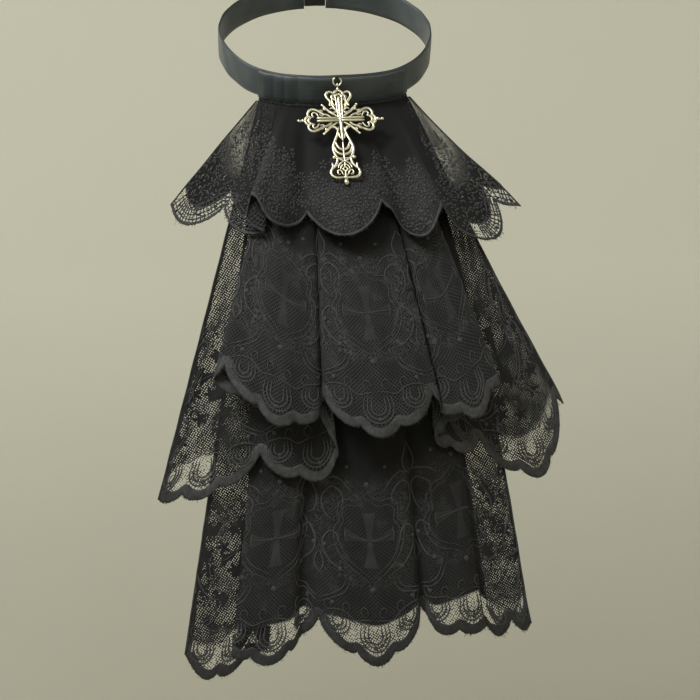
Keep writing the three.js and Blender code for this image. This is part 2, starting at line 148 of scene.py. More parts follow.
def makeMesh(name, parts, material, values=None):
    # parts: (points, quads, uv) of each shell, the points in millimetres; values: a number for each point
    points = np.concatenate([part[0].reshape(-1, 3) for part in parts]) * 0.001
    uvs = np.concatenate([part[2].reshape(-1, 2) for part in parts])
    starts = np.cumsum([0] + [part[0].size // 3 for part in parts[:-1]])
    quads = np.concatenate([part[1] + start for part, start in zip(parts, starts)])
    mesh = bpy.data.meshes.new(name)
    mesh.vertices.add(len(points))
    mesh.vertices.foreach_set("co", points.ravel())
    mesh.loops.add(quads.size)
    mesh.loops.foreach_set("vertex_index", quads.ravel().astype(np.int32))
    mesh.polygons.add(len(quads))
    mesh.polygons.foreach_set("loop_start", np.arange(0, quads.size, 4, dtype=np.int32))
    mesh.polygons.foreach_set("loop_total", np.full(len(quads), 4, dtype=np.int32))
    layer = mesh.uv_layers.new(name="cloth")
    layer.data.foreach_set("uv", uvs[quads.ravel()].ravel())
    for key, numbers in (values or {}).items():
        mesh.attributes.new(key, "FLOAT", "POINT").data.foreach_set("value", numbers.ravel().astype(np.float32))
    mesh.update(calc_edges=True)
    mesh.polygons.foreach_set("use_smooth", np.ones(len(mesh.polygons), dtype=bool))
    mesh.materials.append(material)
    return addObject(name, mesh)


def unit(vectors):
    # each vector divided by its length
    return vectors / np.maximum(np.linalg.norm(vectors, axis=-1, keepdims=True), 1e-9)


def tubes(paths, normals, width, height, sides=6, lift=0.0):
    # rings round each path: path + cos(t) * width * side + (lift + sin(t) * height) * normal,
    # side being the path's direction crossed with the normal; the ends are closed flat
    count, steps = paths.shape[:2]
    direction = unit(np.gradient(paths, axis=1))
    normal = unit(normals - direction * np.sum(normals * direction, axis=-1, keepdims=True))
    side = np.cross(direction, normal)
    turn = 2 * np.pi * (np.arange(sides) + 0.5) / sides
    width = np.broadcast_to(width, (count, steps))[:, :, None, None]
    height = np.broadcast_to(height, (count, steps))[:, :, None, None]
    rings = (paths[:, :, None] + np.cos(turn)[:, None] * width * side[:, :, None]
             + (lift + np.sin(turn)[:, None] * height) * normal[:, :, None])
    quads = copies(tubeFaces(steps, sides), count, steps * sides)
    length = np.cumsum(np.linalg.norm(np.diff(paths, axis=1, prepend=paths[:, :1]), axis=-1), axis=1)
    return faceOutward(rings, quads, together(length[:, :, None], np.arange(sides) / sides))


def domes(centres, normals, radius, height, sides=8, rows=4):
    # round beads: centre + radius * cos(lat) * (cos t, sin t) in the cloth's plane + height * sin(lat)
    normal = unit(normals)
    first = unit(np.cross(normal, np.array([0.31, 0.17, 0.93])))
    second = np.cross(normal, first)
    lat = np.linspace(-0.49, 0.49, rows + 1) * np.pi
    turn = 2 * np.pi * np.arange(sides) / sides
    flat = (np.cos(turn)[:, None] * first[:, None] + np.sin(turn)[:, None] * second[:, None])
    radius = np.broadcast_to(radius, len(centres))[:, None, None, None]
    height = np.broadcast_to(height, len(centres))[:, None, None, None]
    points = (centres[:, None, None] + radius * np.cos(lat)[:, None, None] * flat[:, None]
              + height * np.sin(lat)[:, None, None] * normal[:, None, None])
    quads = copies(tubeFaces(rows + 1, sides), len(centres), (rows + 1) * sides)
    uv = together(lat[:, None], turn)
    return faceOutward(points, quads, np.broadcast_to(uv, (len(centres),) + uv.shape))


def runLength(line):
    # distance along a line of points, 0 at its first
    return np.concatenate([[0], np.cumsum(np.linalg.norm(np.diff(line, axis=0), axis=1))])


def spaced(line, count):
    # points spaced evenly along a line
    length = runLength(line)
    even = np.linspace(0, length[-1], count)
    return np.stack([np.interp(even, length, line[:, k]) for k in range(line.shape[1])], axis=-1)


def smoothPath(points, steps):
    # smooth line through a few points, spaced evenly along its length
    points = np.asarray(points, dtype=float)
    if len(points) == 2:
        share = np.linspace(0, 1, steps)[:, None]
        return points[0] * (1 - share) + points[1] * share
    return spaced(smoothRows(points, np.linspace(0, len(points) - 1, 16 * (len(points) - 1) + 1)), steps)


def smoothRows(table, place):
    # Catmull-Rom curve through the rows of a table, its ends continued in a straight line
    rows = np.vstack([2 * table[:1] - table[1:2], table, 2 * table[-1:] - table[-2:-1]])
    place = np.asarray(place, dtype=float)
    index = np.clip(np.floor(place).astype(int), 0, len(table) - 2)
    share = (place - index)[..., None]
    a, b, c, d = (rows[index + k] for k in range(4))
    bend = share * (2 * a - 5 * b + 4 * c - d + share * (3 * (b - c) + d - a))
    return b + 0.5 * share * (c - a + bend)


# Nodes of a material


def node(tree, kind, inputs=None, **settings):
    made = tree.nodes.new(kind)
    for key, value in settings.items():
        setattr(made, key, value)
    for key, value in (inputs or {}).items():
        if isinstance(value, bpy.types.NodeSocket):
            tree.links.new(value, made.inputs[key])
        else:
            made.inputs[key].default_value = value
    return made


def calc(operation, *values):
    # a sum in the tree of its first linked value
    tree = next(value.id_data for value in values if isinstance(value, bpy.types.NodeSocket))
    return node(tree, "ShaderNodeMath", dict(enumerate(values)), operation=operation).outputs[0]


def plus(first, second):
    return calc("ADD", first, second)


def minus(first, second):
    return calc("SUBTRACT", first, second)


def rest(value):
    return calc("SUBTRACT", 1.0, value)


def most(first, second):
    return calc("MAXIMUM", first, second)


def times(first, *others):
    for other in others:
        first = calc("MULTIPLY", first, other)
    return first


def wave(value, length):
    # a sine that repeats after each length
    return calc("SINE", times(value, 2 * math.pi / length))


def blendColor(share, first, second):
    made = node(share.id_data, "ShaderNodeMix", {0: share, 6: first, 7: second}, data_type="RGBA")
    return made.outputs[2]


def ramp(value, low, high):
    # 0 below low, 1 above high, smooth between
    inputs = {0: value, 1: low, 2: high}
    return node(value.id_data, "ShaderNodeMapRange", inputs, interpolation_type="SMOOTHSTEP").outputs[0]


def noise(place, scale, detail):
    # soft noise from 0 to 1, scale being its grains in a unit of place
    inputs = {"Vector": place, "Scale": scale, "Detail": detail}
    return node(place.id_data, "ShaderNodeTexNoise", inputs).outputs[0]


def voronoi(place, scale, uneven, dimensions="2D"):
    # cells round points that are the less even the larger uneven is; the first output is the distance to a point
    inputs = {"Vector": place, "Scale": scale, "Randomness": uneven}
    return node(place.id_data, "ShaderNodeTexVoronoi", inputs, voronoi_dimensions=dimensions).outputs


def mapped(place, turn=0.0, scale=(1, 1, 1)):
    # place times scale, turned about z
    return node(place.id_data, "ShaderNodeMapping", {0: place, 2: (0, 0, turn), 3: scale}).outputs[0]


def split(place):
    return node(place.id_data, "ShaderNodeSeparateXYZ", {0: place}).outputs


def objectPlace(tree):
    return node(tree, "ShaderNodeTexCoord").outputs["Object"]


def carried(tree, key):
    # a number that the mesh carries at each of its points
    return node(tree, "ShaderNodeAttribute", attribute_name=key).outputs["Fac"]


def newMaterial(name, **settings):
    material = bpy.data.materials.new(name)
    material.use_nodes = True
    tree = material.node_tree
    shader = tree.nodes["Principled BSDF"]
    for key, value in settings.items():
        shader.inputs[key.replace("_", " ")].default_value = value
    return material, tree, shader


def feed(shader, key, value):
    value.id_data.links.new(value, shader.inputs[key])


def bump(shader, height, strength, distance):
    # tilts the shading as if the surface rose by height times distance, in metres
    inputs = {"Strength": strength, "Distance": distance, "Height": height}
    feed(shader, "Normal", node(height.id_data, "ShaderNodeBump", inputs).outputs[0])


def clothPlace(tree):
    # the place on flat cloth in millimetres, and its two parts
    place = node(tree, "ShaderNodeTexCoord").outputs["UV"]
    return place, *split(place)[:2]


# Neck loop and front band

neck = {
    "radius": 58.0, "tilt": math.radians(36), "dip": 2.5, "seamGap": 0.3,
    "ribbonWidth": 16.0, "ribbonThickness": 1.0, "claspHalf": 6.3, "bead": 0.12, "steps": 260,
}
band = {
    "width": 78.0, "thickness": 2.0, "lapWidth": 12.0, "lapThickness": 0.4, "bead": 0.04, "steps": 220,
    "secondLap": -9.0, "secondDepth": 0.22, "creaseDepth": 0.22, "creaseHeight": -6.2,
    "seamShare": 0.985, "seamDepth": 1.0, "seamHeight": 1.6, "seamMiddle": -9.0, "seamSteps": 420, "seamSides": 12,
    "folds": [(-36.0, 0.4, 1.6), (-31.5, -0.35, 1.2), (-24.0, 0.45, 2.2), (-19.5, -0.35, 1.5), (-12.0, 0.3, 3.0),
              (3.0, 0.2, 4.0), (14.0, -0.18, 2.5), (22.0, 0.22, 3.0), (33.0, -0.25, 1.6), (36.5, 0.25, 1.2)],
}
band["radius"] = neck["radius"] + neck["ribbonThickness"] + neck["seamGap"]
band["halfAngle"] = math.asin(band["width"] / 2 / band["radius"])


def neckPoint(angle, radius, height):
    # radius * sin(angle) across, -radius * cos(angle) along the loop's tilted back axis,
    # and the height less the dip along the neck's axis
    angle = np.asarray(angle, dtype=float)
    up = height - neck["dip"] * np.sin(2 * np.minimum(np.abs(angle), np.pi / 2)) ** 2
    back = -radius * np.cos(angle)
    cosTilt, sinTilt = math.cos(neck["tilt"]), math.sin(neck["tilt"])
    return together(radius * np.sin(angle), back * cosTilt - up * sinTilt, back * sinTilt + up * cosTilt)


def ribbonSection(thickness, width, bead):
    # closed outline of a ribbon: outer face, edge, inner face, edge; bead thickens both edges
    across = np.concatenate([np.linspace(-1, 1, 17), np.linspace(1, -1, 7)])
    outer = np.concatenate([np.full(17, 1.0), np.full(7, 0.0)])
    edge = np.abs(across) ** 12
    rise = outer * thickness * (1 - 0.45 * edge) + bead * outer * np.exp(-((np.abs(across) - 0.93) / 0.03) ** 2)
    return across * width / 2, rise


def satinMaterial():
    # warp threads run along the ribbon; light slides over it in soft bands, painted into its colour as lighter and
    # darker streaks; its woven edges are duller
    material, tree, shader = newMaterial(
        "blackSatin", Roughness=0.46, Sheen_Weight=0.1, Sheen_Roughness=0.4, Specular_IOR_Level=0.45,
    )
    place, along, across = clothPlace(tree)
    streaks = noise(mapped(place, scale=(0.05, 2.2, 1.0)), 1.0, 3.0)
    tone = plus(times(streaks, 0.4), times(noise(place, 0.045, 2.0), 0.9))
    # painted sheen and shade: lighter and darker soft streaks along the ribbon
    color = blendColor(ramp(tone, 0.45, 0.85), (0.032, 0.043, 0.0495, 1), (0.076, 0.09, 0.098, 1))
    halfWidth = neck["ribbonWidth"] / 2
    edge = ramp(calc("ABSOLUTE", across), halfWidth - 0.5, halfWidth - 0.1)
    feed(shader, "Base Color", blendColor(edge, color, (0.012, 0.016, 0.019, 1)))
    weave = plus(times(wave(across, 0.42), 0.6), times(wave(along, 0.8), 0.4))
    bump(shader, plus(times(weave, 0.3), times(streaks, 1.2)), 0.35, 0.0002)
    return material


def neckRibbon(material):
    # the section carried round the neck: angle from clasp to clasp, with a faint waver of its edges
    gap = neck["claspHalf"] / neck["radius"]
    angle = np.linspace(-math.pi + gap, math.pi - gap, neck["steps"])[:, None]
    across, rise = ribbonSection(neck["ribbonThickness"], neck["ribbonWidth"], neck["bead"])
    waver = 0.25 * np.sin(9 * angle) + 0.18 * np.sin(17 * angle + 1)
    ripple = 0.1 * np.sin(23 * angle + across * 0.3) * (rise > 0)
    points = neckPoint(angle, neck["radius"] + rise + ripple, across + 0.3 * waver)
    return makeMesh("neckRibbon", [sweep(points, angle * neck["radius"], across)], material)


def lapStep(along):
    # how far the front stands out at the lap, falling to 0 past its edge
    lapEdge = band["lapWidth"] - band["width"] / 2
    return band["lapThickness"] / (1 + np.exp((along - lapEdge) / 0.25))


def bandAngle(steps, share=1.0):
    # angles round the neck over a share of the band, and the distance along it: radius * sin(angle)
    angle = np.linspace(-band["halfAngle"], band["halfAngle"], steps)[:, None] * share
    return angle, np.sin(angle) * band["radius"]


def bandPanel(material):
    # folded panel: thickness steps down at each lap, creases lie along its lower edge
    angle, along = bandAngle(band["steps"])
    across, rise = ribbonSection(1.0, neck["ribbonWidth"], band["bead"])
    depth = band["secondDepth"]
    step = lapStep(along) + depth / (1 + np.exp(-(along - band["secondLap"]) / 0.3)) - depth
    for place, out, wide in band["folds"]:
        step = step + out * np.exp(-((along - place) / wide) ** 2)
    low = np.exp(-((across - band["creaseHeight"]) / 1.6) ** 2)
    crease = band["creaseDepth"] * low * np.sin(across * 3.4 + 0.25 * np.sin(along / 5))
    thick = (band["thickness"] + step) * rise + crease * (rise > 0.5)
    sag = 0.35 * np.sin(along / 9.0) + 0.2 * np.sin(along / 3.7)
    upper = np.maximum(across, 0) / 8 * 0.25 * sag
    points = neckPoint(angle, band["radius"] + thick, across + upper)
    return makeMesh("bandPanel", [sweep(points, along + 400, across)], material)


def bandSeam(material):
    # gathered seam where the lace is sewn on: a lens-shaped section with small regular puckers
    angle, along = bandAngle(band["seamSteps"], band["seamShare"])
    turn = 2 * np.pi * np.arange(band["seamSides"]) / band["seamSides"]
    pucker = 0.12 * np.sin(along * 3.1) + 0.08 * np.sin(along * 7.3 + 1)
    deep = band["seamDepth"] * np.sin(turn) + pucker * (np.sin(turn) > 0)
    middle = band["radius"] + band["thickness"] - 0.5
    points = neckPoint(angle, middle + deep, band["seamMiddle"] + band["seamHeight"] * np.cos(turn))
    return makeMesh("bandSeam", [sweep(points, along, 12 * turn)], material)


# Lace: shapes of the three tiers

drape = {
    "tierPitch": 2.2, "laceWall": 1.0, "chestReach": 58.0, "chestFall": 90.0, "chestRadius": 420.0,
    "neckBlend": 40.0, "scallopFullness": 0.8, "lobeFullness": 0.6, "samplesPerFold": 12,
}
topTier = {
    "name": "topRuffle", "layer": 2, "length": 53.0, "halfWidth": 92.0, "foldDepth": 15.0, "wingBow": -4.0,
    "pitch": 40.0, "scallopDepth": 13.0, "lobeDepth": 0.8, "lobes": 1, "middleFold": 9,
    "columns": 420, "rows": 44, "flutter": 0.35, "selvedge": 0.9,
    "lined": (3.3, 16.8), "liningFrom": (-60.0, -50.0),
    "folds": [
        [-1.0, -0.84, 0.1, 0.66], [-0.92, -0.78, 0.1, 0.92], [-0.8, -0.62, 0.36, 1.0],
        [-0.7, -0.44, 0.66, 1.0], [-0.72, -0.54, 0.84, 0.97], [-0.62, -0.47, 1.06, 0.74],
        [-0.52, -0.38, 1.0, 0.92], [-0.4, -0.27, 0.57, 1.08], [-0.28, -0.18, 0.81, 1.08],
        [-0.06, -0.02, 1.0, 1.08], [0.16, 0.13, 0.95, 1.04], [0.3, 0.23, 0.81, 0.98],
        [0.38, 0.29, 0.57, 1.08], [0.48, 0.38, 0.86, 1.1], [0.6, 0.48, 1.0, 0.97],
        [0.7, 0.54, 0.71, 1.06], [0.74, 0.59, 0.48, 1.13], [0.82, 0.7, 0.24, 1.13],
        [0.92, 0.83, 0.1, 1.12], [1.0, 0.9, 0.1, 0.84],
    ],
}
middleTier = {
    "name": "middleRuffle", "layer": 1, "length": 181.0, "halfWidth": 107.0, "foldDepth": 22.0, "wingBow": -5.0,
    "pitch": 58.0, "scallopDepth": 14.0, "lobeDepth": 4.0, "lobes": 3, "middleFold": 14,
    "columns": 520, "rows": 90, "flutter": 0.45, "selvedge": 4.6,
    "lined": (1.75, 24.7), "liningFrom": (-40.0, -36.0),
    "folds": [
        [-1.0, -0.94, 0.07, 1.07], [-0.93, -0.79, 0.07, 1.02], [-0.8, -0.5, 0.33, 0.99],
        [-0.66, -0.2, 0.41, 0.97], [-0.6, -0.14, 0.5, 0.9], [-0.66, -0.4, 0.6, 0.78],
        [-0.72, -0.62, 0.63, 0.74], [-0.74, -0.64, 0.78, 0.74], [-0.64, -0.52, 0.89, 0.76],
        [-0.5, -0.36, 0.93, 0.82], [-0.38, -0.22, 0.81, 0.84], [-0.34, -0.18, 0.59, 0.83],
        [-0.3, -0.16, 0.81, 0.83], [-0.15, -0.04, 0.96, 0.85], [0.0, 0.07, 1.0, 0.86],
        [0.22, 0.24, 0.93, 0.85], [0.36, 0.35, 0.81, 0.84], [0.4, 0.36, 0.56, 0.84],
        [0.45, 0.4, 0.78, 0.83], [0.6, 0.51, 0.81, 0.82], [0.72, 0.6, 0.74, 0.76],
        [0.78, 0.62, 0.56, 0.77], [0.72, 0.46, 0.43, 0.84], [0.68, 0.34, 0.33, 0.88],
        [0.76, 0.54, 0.26, 0.97], [0.86, 0.73, 0.15, 1.0], [0.94, 0.87, 0.07, 0.98],
        [1.0, 0.985, 0.07, 0.86],
    ],
}
bottomTier = {
    "name": "bottomRuffle", "layer": 0, "length": 268.0, "halfWidth": 92.0, "foldDepth": 9.0, "wingBow": 6.0,
    "pitch": 58.0, "scallopDepth": 14.0, "lobeDepth": 4.0, "lobes": 3, "middleFold": 11,
    "columns": 420, "rows": 120, "flutter": 0.4, "selvedge": 3.4,
    "lined": (3.4, 18.6), "liningFrom": (0.0, 4.0),
    "folds": [
        [-1.0, -1.0, 0.0, 1.03], [-0.9, -0.86, 0.1, 1.04], [-0.75, -0.67, 0.2, 1.0],
        [-0.65, -0.54, 0.4, 0.99], [-0.7, -0.66, 0.65, 1.0], [-0.75, -0.74, 0.9, 1.0],
        [-0.6, -0.6, 1.0, 1.0], [-0.42, -0.43, 0.9, 0.99], [-0.36, -0.36, 0.4, 0.97],
        [-0.3, -0.29, 0.8, 0.98], [-0.18, -0.17, 1.0, 0.99], [0.0, 0.02, 1.0, 1.01],
        [0.15, 0.15, 0.9, 1.0], [0.28, 0.26, 0.8, 0.98], [0.34, 0.3, 0.35, 0.97],
        [0.4, 0.37, 0.8, 0.98], [0.55, 0.49, 0.9, 0.97], [0.68, 0.61, 0.6, 0.96],
        [0.74, 0.63, 0.3, 0.97], [0.82, 0.72, 0.2, 1.0], [0.92, 0.83, 0.1, 1.01],
        [1.0, 0.89, 0.0, 0.97],
    ],
}


def lacePoint(tier, place, share):
    # x and z: straight from head to hem; forward: chestReach * (1 - exp(-fall / chestFall)) + fold * share;
    # near the neck it keeps the band's curve, further down it takes a wide circle
    headShare, hemShare, fold, drop = np.moveaxis(smoothRows(tier["table"], place), -1, 0)
    headAngle = np.arcsin(headShare * band["width"] / 2 / band["radius"])
    radius = neck["radius"] + tier["layer"] * drape["tierPitch"]
    below = -neck["ribbonWidth"] / 2 - neck["seamGap"] - drape["laceWall"]
    head = neckPoint(headAngle, radius, below)
    middle = neckPoint(0.0, radius, below)
    hemHeight = middle[2] - drop * tier["length"]
    bow = tier["wingBow"] * np.maximum(hemShare, 0) ** 3 * np.sin(np.pi * np.minimum(share, 1))
    x = head[..., 0] * (1 - share) + hemShare * tier["halfWidth"] * share + bow
    z = head[..., 2] * (1 - share) + hemHeight * share
    fall = np.maximum(neckPoint(headAngle, neck["radius"], below)[..., 2] - z, 0)
    chest = drape["chestReach"] * (1 - np.exp(-fall / drape["chestFall"]))
    nearNeck = np.exp(-fall / drape["neckBlend"])
    neckSide = (head[..., 1] - middle[1]) * nearNeck
    chestSide = x * x / (2 * drape["chestRadius"]) * (1 - nearNeck)
    y = middle[1] - chest - fold * tier["foldDepth"] * share + neckSide + chestSide
    return np.stack([x, y, z], axis=-1)


def layOut(tier):
    # length along the straight hem line, measured from the middle fold
    tier["table"] = np.array(tier["folds"])
    count = (len(tier["folds"]) - 1) * drape["samplesPerFold"]
    tier["places"] = np.arange(count + 1) / drape["samplesPerFold"]
    line = lacePoint(tier, tier["places"], 1.0)
    length = runLength(line)
    tier["lengths"] = length - length[tier["middleFold"] * drape["samplesPerFold"]]
    tier["low"], tier["high"] = tier["lengths"][0], tier["lengths"][-1]


def scallop(tier, along):
    # depth below the straight hem line: scallopDepth * sin(pi p)^0.8 + lobeDepth * |sin(pi lobes p)|^0.6
    phase = np.mod(along / tier["pitch"] + 0.5, 1)
    deep = np.sin(np.pi * phase) ** drape["scallopFullness"]
    lobes = np.abs(np.sin(np.pi * tier["lobes"] * phase)) ** drape["lobeFullness"]
    return tier["scallopDepth"] * deep + tier["lobeDepth"] * lobes


def onLace(tier, along, height):
    # point of the cloth at a length along the hem and a height above the straight hem line
    place = np.interp(along, tier["lengths"], tier["places"])
    drop = smoothRows(tier["table"], place)[..., 3]
    share = np.maximum(1 - height / (drop * tier["length"]), 0.0)
    return lacePoint(tier, place, share)


def flutter(tier, along, height):
    # small soft waves of the cloth, none at the head: two sines across and one down
    free = np.clip(1 - height / tier["length"], 0, 1.2)
    waves = np.sin(along / 5.1 + height / 37) + 0.6 * np.sin(along / 2.9 - height / 23 + 1.3)
    return tier["flutter"] * free * waves


def liftedLace(tier, along, height, lift=0.0):
    # points and normals of the cloth, the normal from differences half a millimetre either way
    step = 0.5
    acrossWay = onLace(tier, along + step, height) - onLace(tier, along - step, height)
    downWay = onLace(tier, along, height - step) - onLace(tier, along, height + step)
    normal = unit(np.cross(downWay, acrossWay))
    away = (flutter(tier, along, height) + lift)[..., None]
    return onLace(tier, along, height) + away * normal, normal


def laceSheet(tier, material):
    # columns even along the hem, rows even from the head to the scalloped hem
    along = np.linspace(tier["low"], tier["high"], tier["columns"])
    place = np.interp(along, tier["lengths"], tier["places"])
    drop = smoothRows(tier["table"], place)[..., 3] * tier["length"]
    hem = scallop(tier, along)
    share = np.linspace(0, 1, tier["rows"])
    height = drop[:, None] - (drop + hem)[:, None] * share[None]
    inside = np.clip(along, tier["low"] + 0.6, tier["high"] - 0.6)[:, None] + 0 * height
    points, normals = liftedLace(tier, inside, height)
    shift = np.abs(along - inside[:, 0]) > 0.01      # the side edges, with the normals from just inside them
    edge = along[shift][:, None] + 0 * height[shift]
    away = flutter(tier, edge, height[shift])[..., None]
    points[shift] = onLace(tier, edge, height[shift]) + away * normals[shift]
    first, last = tier["lined"]
    low, high = tier["liningFrom"]
    lined = np.clip((place - first) / 0.25, 0, 1) * np.clip((last - place) / 0.25, 0, 1)
    down = np.clip((height - low) / (high - low), 0, 1)
    fromEdge = np.minimum(along - tier["low"], tier["high"] - along)
    wavy = 0.25 * np.sin(height / 2.1) + 0.2 * np.sin(height / 5.3)
    selvedge = np.clip((tier["selvedge"] + wavy - fromEdge[:, None]) / 0.6, 0, 1)
    opened = np.clip(share * 1.4, 0, 1)      # how far the folds have opened
    # the fold's value from its depth to its ridge, which the net's colour uses to paint shade in the pleats
    ridge = smoothRows(tier["table"], place)[..., 2][:, None] * opened + (1 - opened) * 0.6
    values = {"cover": lined[:, None] * down, "inset": height + hem[:, None], "selvedge": selvedge,
              "ridge": np.clip(ridge, 0, 1)}
    shell = (points, gridFaces(*height.shape), together(along[:, None], height))
    return makeMesh(tier["name"], [shell], material, values)


tiers = (topTier, middleTier, bottomTier)
for tier in tiers:
    layOut(tier)
    print(tier["name"], "runs", round(tier["low"]), "to", round(tier["high"]), "mm along its hem")

# Lace: net and thread


def flowerShare(spot, spacing, middle, petal):
    # flowers scattered over the open cloth, their outline middle + petal * cos(5 * angle) out
    bed = voronoi(spot, 1 / spacing, 0.7)
    inputs = {0: spot, 1: bed["Position"]}
    away = split(node(spot.id_data, "ShaderNodeVectorMath", inputs, operation="SUBTRACT").outputs[0])
    petals = calc("COSINE", times(calc("ARCTAN2", away["Y"], away["X"]), 5.0))
    return ramp(minus(plus(times(petals, petal), middle), times(bed["Distance"], spacing)), -0.2, 0.2)


def medallionShares(net, along, up):
    # 1 outside its oval, (x / half width)^2 + (z / half height)^2 being near 1 at the edge, and 1 in its cross,
    # whose arms are thin + 0.014 * distance^2 in half width
    halfWidth, halfHeight, centre = net["medallion"]
    beside = calc("PINGPONG", plus(along, net["repeat"]), net["repeat"] / 2)
    above = calc("ABSOLUTE", minus(up, centre))
    oval = plus(calc("POWER", times(beside, 1 / halfWidth), 2.0), calc("POWER", times(above, 1 / halfHeight), 2.0))
    arms = []
    for far, near, thin, reach in ((above, beside, *net["crossDown"]), (beside, above, *net["crossOver"])):
        half = plus(thin, times(calc("POWER", far, 2.0), 0.014))
        arms.append(times(ramp(minus(half, near), -0.15, 0.15), rest(ramp(far, reach, reach + 0.4))))
    return ramp(oval, 0.8, 1.0), most(*arms)


def netMaterial(name, net):
    # open cloth: round holes on a slanted grid over x and z, closed in patches by soft noise,
    # thin in the border, with flowers in the wings; lined cloth: a slanted lattice over black;
    # winding stitches in the motif's height, round its medallions; plain cloth above;
    # all of it darkened in the depth of a pleat, less on its ridge, as painted shade
    material, tree, shader = newMaterial(name, Roughness=0.8, Specular_IOR_Level=0.2, Sheen_Weight=0.05)
    place, along, up = clothPlace(tree)
    cover, inset, selvedge, ridge = (carried(tree, key) for key in ("cover", "inset", "selvedge", "ridge"))
    lining = ramp(cover, 0.3, 0.7)
    clouds = noise(place, net["patch"], 3.0)
    space = split(objectPlace(tree))
    spot = node(tree, "ShaderNodeCombineXYZ", {0: space["X"], 1: space["Z"]}).outputs[0]
    spot = mapped(spot, 0.6, (1000, 1000, 1))
    small, large = net["hole"]
    size = minus(large, times(ramp(clouds, 0.3, 0.7), large - small))
    first, last, less = net["closer"]
    size = minus(size, times(ramp(along, first, last), less))
    border = rest(ramp(up if net["wholeBorder"] else inset, *net["border"]))
    size = plus(size, times(border, net["borderHole"]))
    cloth = ramp(minus(voronoi(spot, 1 / net["pitch"], net["uneven"])[0], size), -0.06, 0.05)
    motif = rest(ramp(up, *net["motifTop"]))
    inMotif = times(motif, ramp(inset, *net["clear"]))
    bias = times(minus(net["dense"], up), net["denseFade"])
    closed = ramp(plus(clouds, most(bias, -0.2)), *net["closed"])
    closed = times(closed, inMotif, ramp(voronoi(place, 0.4, 0.85, "3D")[0], 0.2, 0.3))
    if net["flower"]:
        closed = most(closed, times(flowerShare(spot, *net["flower"]), rest(lining), inMotif))
    cloth = most(cloth, closed)
    ways = split(mapped(place, math.pi / 4))[:2]
    lattice = calc("MINIMUM", *(calc("PINGPONG", times(way, 1 / net["lattice"]), 0.5) for way in ways))
    lattice = rest(ramp(lattice, 0.1, 0.24))
    stitched = times(closed, 0.35)
    zone = times(motif, ramp(up, *net["curlsFrom"]))
    if net["medallion"]:
        outside, solid = medallionShares(net, along, up)
        zone = times(zone, outside)
        cloth = most(cloth, solid)
        lattice = times(lattice, rest(solid))
        stitched = most(stitched, times(solid, 0.6))
    level = calc("PINGPONG", times(noise(place, net["curlScale"], 1.0), net["curls"]), 0.5)
    curl = times(rest(ramp(level, 0.12, 0.2)), zone)
    cloth = most(most(cloth, curl), times(ramp(selvedge, 0.3, 0.8), 0.96))
    stitched = most(stitched, times(curl, net["curlTone"]))
    feed(shader, "Alpha", most(cloth, lining))
    lattice = times(lattice, net["latticeTone"], plus(0.18, times(motif, 0.82)))
    tone = plus(times(most(lattice, stitched), lining), times(rest(lining), 0.4))
    slow = noise(place, 0.03, 2.0)
    back = blendColor(ramp(slow, 0.35, 0.7), (0.002, 0.002, 0.0024, 1), (0.005, 0.005, 0.0048, 1))
    front = blendColor(ramp(clouds, 0.35, 0.7), (0.034, 0.034, 0.036, 1), (0.052, 0.052, 0.053, 1))
    # painted shade: the colour goes near black in the depth of a pleat, less towards its ridge, by foldShade
    deep = times(rest(ramp(ridge, 0.45, 0.95)), net["foldShade"])
    color = blendColor(deep, blendColor(tone, back, front), (0.003, 0.003, 0.0032, 1))
    feed(shader, "Base Color", color)
    bump(shader, tone, 0.6, 0.0004)
    return material


def threadMaterial(name, low, high, pitch):
    # close satin stitches across the cord, u being the length along it
    material, tree, shader = newMaterial(name, Roughness=0.6, Specular_IOR_Level=0.3, Sheen_Weight=0.06)
    place, along = clothPlace(tree)[:2]
    soft = noise(place, 0.35, 3.0)
    feed(shader, "Base Color", blendColor(ramp(soft, 0.3, 0.75), low, high))
    bump(shader, plus(times(wave(along, pitch), 0.5), times(soft, 1.5)), 0.5, 0.0002)
    return material


# Lace: embroidery of one repeat, x from its middle and y above the straight hem line, right half only
# each row: width, thickness, points

